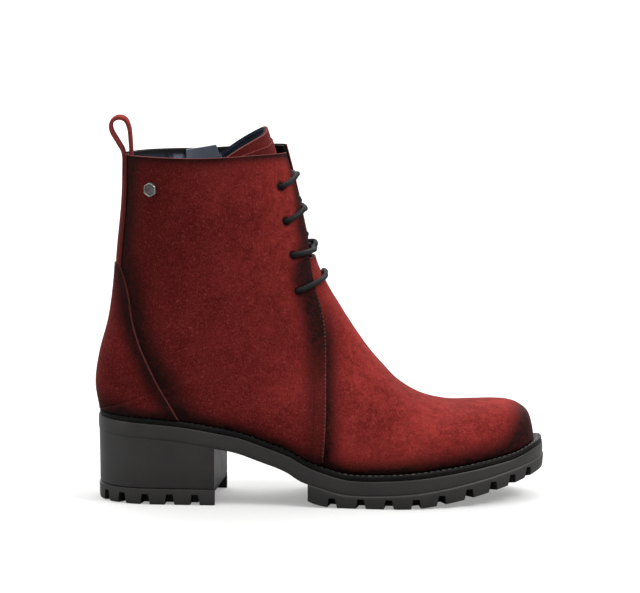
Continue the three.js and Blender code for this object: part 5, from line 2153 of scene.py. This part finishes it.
    def make_welt(self) -> None:
        """The welt: a strip round the sole with a rounded edge and a shallow channel for its stitches."""
        last = self.last
        top, edge = last.welt_top, self.welt_step
        profile = [
            (edge + self.welt_width, -self.welt_thickness + 0.05),
            (edge + 0.5, -self.welt_thickness + 0.05),
            (edge + 0.12, -self.welt_thickness + 0.25),
            (edge, -self.welt_thickness + 0.7),
            (edge - 0.05, -1.2),
            (edge + 0.1, -0.6),
            (edge + 0.4, -0.2),
            (edge + 0.9, -0.02),
            (edge + 1.5, 0.0),
            (edge + 1.9, -0.2),
            (edge + 2.3, -0.34),
            (edge + 2.7, -0.2),
            (edge + 3.1, 0.0),
            (edge + self.welt_width, 0.0),
        ]
        loops = [self.loop(Inset.even(i), lambda x, dz=dz: top(x) + dz) for i, dz in profile]
        welt = build("welt_strip", ring(np.array(loops)), last, [self.palette.welt])
        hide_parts("welt")

    def make_insole(self) -> None:
        """The insole board under a sock, cupped towards its edges."""
        last = self.last
        inset = last.feather.by(3.1)
        x = self.around(inset)
        centre, half = last.plan(x, inset)
        u = np.linspace(-1, 1, 41)
        y = centre[:, None] + half[:, None] * u[None, :]
        base = last.welt_top(x)[:, None] + self.clearance + np.zeros_like(y)
        cup = 1.4 * np.abs(u[None, :]) ** 3 + 0 * y
        grid = x[:, None] + 0 * y
        outer = np.stack([grid, y, base + 3.4 + cup], axis=-1)
        inner = np.stack([grid, y, base], axis=-1)
        board = build("insole_board", sheet(outer, inner, {}), last, [self.palette.sock, self.palette.sock])
        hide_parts("insole")

    def make(self) -> None:
        """Builds and dresses the whole bottom."""
        self.make_outsole()
        self.make_heel()
        self.make_welt()
        self.make_insole()


@dataclass
class Lacing:
    """One lace through the eight holes: a bar at the bottom and three crossings over the throat."""

    last: Last
    palette: Palette
    diameter: float = 3.2
    pitch: float = 21.5
    slack: float = 4.2
    sides: int = 12

    def edge_share(self, k: int) -> float:
        """Turn of the quarter's edge at a pair of holes, as a share of the hole's own turn.

        Args:
            k: which pair of holes, 0 at the top.

        Returns:
            The share.
        """
        last = self.last
        x, z = LACE_HOLES["x"][k] * last.sole_length, LACE_HOLES["z"][k] * last.collar_height
        s, t = last.locate(x, z, Side.MEDIAL)
        half, crest = last.throat_width / 2, last.curve("crest")(1.0)
        edge = last.turn_where(np.atleast_1d(s), Side.MEDIAL, lambda p: half - (p[..., 1] - crest))
        return float(edge[0] / t)

    def laid(self, k: int, side: Side, share: Array, climb: Array, offset: Array) -> Array:
        """Points of the lace beside a pair of holes.

        Args:
            k: which pair of holes, 0 at the top.
            side: the side of the hole from which the shares count.
            share: turn of each point as a share of the hole's.
            climb: how far each point has climbed from the hole.
            offset: how far each stands off the form.

        Returns:
            The points.
        """
        last, e = self.last, self.edge_share(k)
        x, z = LACE_HOLES["x"][k] * last.sole_length, LACE_HOLES["z"][k] * last.collar_height
        start, end = last.locate(x, z, side), last.locate(x, z + self.pitch, side)
        s = mix(float(start[0]), float(end[0]), climb / self.pitch)
        t = float(start[1]) * share
        points, normal = last.point(s, t), last.normal(s, t)
        on_vamp = smoothstep(last.throat_bottom + 9 - points[:, 2], 0, 4) * (np.abs(share) < 1.05 * e)
        seam = last.quarter_raise(points[:, 0], points[:, 2]) * np.clip(np.abs(share) / e, 0, 1)
        rise = offset + seam * (np.abs(share) < 0.999)
        return points + normal * mix(rise, np.maximum(rise, 1.5), on_vamp)[:, None]

    def crossing(self, k: int, side: Side, over: bool) -> Array:
        """One run of the lace: out of a hole, over the throat, and down under the other quarter's edge.

        Args:
            k: which pair of holes, 0 at the top.
            side: the side of the hole that it leaves.
            over: whether it passes over the other run.

        Returns:
            The run's points.
        """
        e = self.edge_share(k)
        word = "outer" if side is Side.LATERAL else "inner"
        near, middle, far = (float(LACE_RISE[f"{word}_{part}"][k]) for part in ("near", "middle", "far"))
        run = table(
            "share rise over under",
            (1.06, -0.6, -4.0, -4.0), (1.02, -0.2, -2.2, -2.2), (0.995, 0.0, -0.2, -0.2),
            (0.95, 0.06 * near, 1.25, 1.25), (0.86, 0.2 * near, 1.8, 1.8),
            (mix(1, e, 0.6), 0.6 * near, 1.75, 1.75), (e, near, 1.6, 1.6),
            (0.5 * e, mix(near, middle, 0.5), -0.6, -1.7), (0, middle, -2.7, -5.3),
            (-0.45 * e, mix(middle, far, 0.45), -2.3, -3.9), (-0.8 * e, mix(middle, far, 0.8), -1.3, -1.3),
            (-e, far, -3.3, -3.3), (-e - 0.1, far + 0.2, -4.0, -4.0), (-e - 0.2, far + 0.5, -3.9, -3.9),
            (-0.8, mix(far, self.pitch, 0.6), -3.9, -3.9),
        )
        slack = self.slack * (k == 2) * (side is Side.LATERAL) * fade(run["share"] + 0.45 * e, 0.62 * e, 2)
        return self.laid(k, side, run["share"], run["rise"], run["over" if over else "under"] + slack)

    def path(self, first: Side) -> Array:
        """The lace from the third hole up: each run ends under the other edge and comes up the next hole.

        Args:
            first: the side whose third hole the lace leaves.

        Returns:
            The points of its middle line.
        """
        side = first
        parts = []
        for k in (2, 1, 0):
            over = (side is Side.LATERAL) == (k % 2 == 0)
            run = self.crossing(k, side, over)
            parts.append(run if k else run[:-1])
            side = Side.MEDIAL if side is Side.LATERAL else Side.LATERAL
        return np.vstack(parts)

    def bar(self) -> Array:
        """The bottom row: up inside each quarter from the third hole's foot, and straight over the vamp.

        Returns:
            The row's points.
        """
        near, middle = (float(LACE_RISE[f"outer_{part}"][3]) for part in ("near", "middle"))
        e = self.edge_share(3)
        half = table(
            "share rise offset",
            (1.12, 13, -4.0), (1.1, 5, -4.0), (1.04, -0.4, -3.2), (0.995, 0, -0.2),
            (0.95, 0.06 * near, 1.25), (0.86, 0.2 * near, 1.8),
            (mix(1, e, 0.6), 0.6 * near, 1.7), (e, near, 1.3),
        )
        inner, outer = (self.laid(3, side, *half.values()) for side in (Side.MEDIAL, Side.LATERAL))
        top = self.laid(3, Side.LATERAL, np.zeros(1), np.full(1, middle), np.full(1, 1.5))
        return np.vstack([inner, top, outer[::-1]])

    def make(self) -> None:
        """Builds the lace and logs its length in millimetres."""
        up, down = self.path(Side.LATERAL), self.path(Side.MEDIAL)
        points = np.vstack([down[::-1], self.bar(), up])
        path = smooth_path(points, 1000)
        length = float(np.linalg.norm(np.diff(path, axis=0), axis=1).sum())
        forward = np.gradient(path, axis=0)
        forward /= np.linalg.norm(forward, axis=1, keepdims=True)
        shell = tube(path, self.diameter, self.diameter, self.sides, carried(forward))
        piece = build("lace", shell, self.last, [self.palette.lace])
        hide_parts("lace_1", "lace_2", "lace_3", "lace_4")
        LOG.info("lace: %.0f mm long", length)


def carried(forward: Array) -> Array:
    """A direction square to a path that is carried along it without twist.

    Each step takes the last direction and drops what points along the path; this walks the path's points,
    not the mesh's.

    Args:
        forward: the path's direction at each point.

    Returns:
        The carried direction at each point.
    """
    up = np.zeros_like(forward)
    seed = np.array([0.0, 0.0, 1.0])
    for i, way in enumerate(forward):
        seed = seed - way * (seed @ way)
        seed = seed / np.linalg.norm(seed)
        up[i] = seed
    return up


@dataclass
class Stitching:
    """Rows of stitches on the leather and the welt."""

    last: Last
    palette: Palette
    pitch: float = 2.3
    length: float = 1.3
    width: float = 0.66
    tack_height: float = 113.5

    def row(
        self, line: Array, normal: Array, pitch: float, length: float, width: float, sunk: float
    ) -> Shell:
        """Even stitches along a line on a surface.

        Args:
            line: points of the line.
            normal: outward direction at each.
            pitch: from one stitch to the next.
            length: of one stitch.
            width: thickness of the thread.
            sunk: how far the thread's middle lies under the line.

        Returns:
            The stitches as one shell.
        """
        at = np.concatenate([[0], np.cumsum(np.linalg.norm(np.diff(line, axis=0), axis=1))])
        count = max(2, int(at[-1] / pitch))
        middle = (np.arange(count) + 0.5) * at[-1] / count

        def along(where: Array, values: Array) -> Array:
            """Values read off along the line."""
            return np.stack([np.interp(where, at, values[:, k]) for k in range(3)], axis=1)

        starts, ends = along(middle - length / 2, line), along(middle + length / 2, line)
        return capsules(starts, ends, along(middle, normal), width, sunk)

    def seam_line(self, side: Side, behind: float, low: float, high: float) -> tuple[Array, Array]:
        """A line on the quarter beside its front edge, with its normals.

        Args:
            side: which side of the boot.
            behind: how far it lies behind the edge.
            low: height of its foot.
            high: height of its top.

        Returns:
            The points and the normals.
        """
        last = self.last
        z = np.linspace(low, high, 80)
        x = last.curve("quarter")(z / last.collar_height) * last.sole_length - behind
        s, t = last.locate(x, z, side)
        rise = last.quarter_raise(x, z)
        return last.point(s, t, rise), last.normal(s, t)

    def make(self) -> None:
        """Builds the rows on the quarters, the bartacks, the counter and the welt."""
        last = self.last
        rows, flecks = [], []
        for side in Side:
            flecks.append(self.row(*self.seam_line(side, 0.75, 30, 128), self.pitch, self.length, 0.6, 0.1))
            rows += [
                self.row(*self.seam_line(side, 1.9, 27.5, 150), self.pitch, self.length, 0.45, 0.14),
                self.row(*self.seam_line(side, 7.2, 30, 112.5), self.pitch, self.length, self.width, 0.14),
            ]
            across = np.linspace(1.9, 7.2, 9)
            z = np.full(9, self.tack_height)
            x = last.curve("quarter")(z / last.collar_height) * last.sole_length - across
            s, t = last.locate(x, z, side)
            tack = last.point(s, t, last.quarter_raise(x, z))
            rows.append(self.row(tack, last.normal(s, t), 1.9, 1.6, self.width, 0.05))
            z = np.linspace(54, 139, 80)
            x = last.curve("counter")(z / last.collar_height) * last.sole_length - 2.0
            s, t = last.locate(x, z, side)
            out = 1.6 + 0.9 * (1 - smoothstep(x, 9, 22))
            line, normal = last.point(s, t, out), last.normal(s, t)
            rows.append(self.row(line, normal, self.pitch, self.length, self.width, 0.16))
        threads = build("seam_stitches", joined(rows), last, [self.palette.thread])
        build("edge_stitches", joined(flecks), last, [self.palette.edge_thread])
        x = mix(3.2, last.sole_length - 3.4, (1 - np.cos(np.linspace(0, np.pi, 400))) / 2)
        centre, half = last.plan(x, Inset.even(3.1))
        line = there_and_back(x, centre, half, last.welt_top(x) - 0.2)
        row = self.row(line, np.broadcast_to([0, 0, 1.0], line.shape), 3.7, 2.7, 0.85, 0.05)
        welt = build("welt_stitches", row, last, [self.palette.welt_thread])
        LOG.info("stitches: %d faces", len(threads.data.polygons) + len(welt.data.polygons))


@dataclass
class Stud:
    """The plain six-sided stud: a raised rim round a bare sunk field."""

    last: Last
    palette: Palette
    width: float = 9.6
    height: float = 1.8
    round_off: float = 14.0

    def make(self) -> None:
        """Builds the stud from six-sided loops, square to the leather."""
        last = self.last
        s, t = last.locate(0.1232 * last.sole_length, 0.9105 * last.collar_height, Side.LATERAL)
        centre, n = last.point(s, t, 0.3), last.normal(s, t)
        side_way = np.cross([0, 0, 1.0], n)
        side_way /= np.linalg.norm(side_way)
        up = np.cross(n, side_way)
        angle = np.linspace(0, 2 * np.pi, 96, endpoint=False)
        flats = np.arange(6) * np.pi / 3
        facing = np.cos(angle[:, None] - flats[None, :]).clip(0) ** self.round_off
        reach = facing.sum(axis=1) ** (-1 / self.round_off)
        profile = [
            (1.0, -0.3), (1.0, 0.25), (0.985, 0.75), (0.95, 1.2), (0.9, 1.5), (0.84, 1.56), (0.79, 1.45),
            (0.76, 1.1), (0.72, 0.98), (0.4, 0.98), (0.02, 1.0),
        ]
        levels = []
        for size, height in profile:
            radius = reach * size * self.width / 2 * 0.866
            flat = side_way * (np.cos(angle) * radius)[:, None] + up * (np.sin(angle) * radius)[:, None]
            levels.append(centre + flat + n * height * self.height / 1.6)
        shell = stack(np.array(levels))
        shell.finish = np.zeros(len(shell.faces), int)
        shell.finish[len(angle) * 7 :] = 1
        foot = len(angle) * (len(profile) - 1)
        shell.finish[foot : foot + len(angle) // 2 - 1] = 0
        piece = build("bare_stud", shell, last, [self.palette.nickel, self.palette.field], 40)
        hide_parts("stud")
        LOG.info("stud done")


@dataclass(frozen=True)
class Studio:
    """Camera, floor and light."""

    distance: float = 2.8
    elevation: float = 7.6
    focal: float = 262.07
    aim_x: float = 0.1334
    aim_z: float = 0.121
    surround: float = 0.42

    def camera(self, last: Last) -> None:
        """The camera at the photo's angle, looking square at the boot's outer side.

        Args:
            last: the form, whose origin the aim is measured from.
        """
        data = bpy.data.cameras.new("camera")
        data.lens, data.sensor_width, data.sensor_fit = self.focal, 36, "HORIZONTAL"
        camera = bpy.data.objects.new("camera", data)
        bpy.context.scene.collection.objects.link(camera)
        tilt = math.radians(self.elevation)
        aim = Vector((self.aim_x + last.origin[0] * 0.001, last.origin[1] * 0.001, self.aim_z))
        camera.location = aim + Vector((0, -math.cos(tilt), math.sin(tilt))) * self.distance
        camera.rotation_euler = (math.radians(90 - self.elevation), 0, 0)
        bpy.context.scene.camera = camera

    def lamp(self, name: str, place: Place, aim: Place, size: tuple[float, float], radiance: float) -> None:
        """A soft rectangular light.

        Args:
            name: the light's name.
            place: where it stands, in metres.
            aim: the point that it looks at.
            size: its two sides.
            radiance: how bright it looks, where 1 is the white of the picture.
        """
        data = bpy.data.lights.new(name, "AREA")
        data.shape, data.size, data.size_y = "RECTANGLE", *size
        data.energy = radiance * math.pi * size[0] * size[1]
        lamp = bpy.data.objects.new(name, data)
        lamp.location = place
        lamp.rotation_euler = (Vector(aim) - Vector(place)).to_track_quat("-Z", "Y").to_euler()
        bpy.context.scene.collection.objects.link(lamp)

    def floor(self) -> None:
        """The pale floor, which throws back less light than it shows, as a black flag beside a set does."""
        mesh = bpy.data.meshes.new("floor")
        mesh.from_pydata([(-9, -9, 0), (9, -9, 0), (9, 9, 0), (-9, 9, 0)], [], [(0, 1, 2, 3)])
        floor = bpy.data.objects.new("floor", mesh)
        bpy.context.scene.collection.objects.link(floor)
        material, n, shader = new_material("pale_floor")
        speck = n.noise(3.0, 2, n.place())
        seen = n.blend(speck, (0.50, 0.50, 0.498), (0.52, 0.52, 0.518))
        direct = n.add("ShaderNodeLightPath").outputs["Is Camera Ray"]
        n.put(shader.inputs["Base Color"], n.blend(direct, (0.3, 0.3, 0.3), seen))
        n.put(shader.inputs["Emission Color"], n.blend(direct, (0.0, 0.0, 0.0), (0.3, 0.3, 0.298)))
        shader.inputs["Emission Strength"].default_value = 1.0
        shader.inputs["Roughness"].default_value = 0.8
        shader.inputs["Specular IOR Level"].default_value = 0.05
        mesh.materials.append(material)

    def world(self) -> None:
        """White surroundings, which light the boot less than they show."""
        world = bpy.data.worlds.new("studio")
        world.use_nodes = True
        n = Nodes(world.node_tree)
        back = world.node_tree.nodes["Background"]
        back.inputs["Color"].default_value = (1, 1, 1, 1)
        direct = n.add("ShaderNodeLightPath").outputs["Is Camera Ray"]
        n.put(back.inputs["Strength"], n.span(direct, 0.0, 1.0, self.surround, 1.0))
        bpy.context.scene.world = world

    def make(self) -> None:
        """The floor, the surroundings and four soft lights: key, ceiling, far floor and edge."""
        bpy.context.scene.view_settings.view_transform = "Standard"
        self.floor()
        self.world()
        self.lamp("key", (1.75, -0.75, 2.0), (0, 0, 0.1), (0.9, 0.9), 17.0)
        self.lamp("ceiling", (0.2, 0.3, 2.6), (0.2, 0.3, 0), (4.0, 4.0), 1.8)
        self.lamp("far_floor", (0, 6.2, 3.2), (0, 6.2, 0), (9.0, 7.0), 3.6)
        self.lamp("edge", (-1.6, -0.5, 0.5), (0, 0, 0.06), (0.3, 0.9), 3.2)


def main() -> None:
    """Builds the scene: camera, lacing and then every other piece of the boot."""
    logging.basicConfig(level=logging.INFO, format="%(name)s %(message)s")
    last, studio = Last(), Studio()
    studio.camera(last)
    palette = Palette.make()
    Lacing(last, palette).make()
    Upper(last, palette).make()
    Bottom(last, palette).make()
    Stitching(last, palette).make()
    Stud(last, palette).make()
    studio.make()


if __name__ == "__main__":
    main()
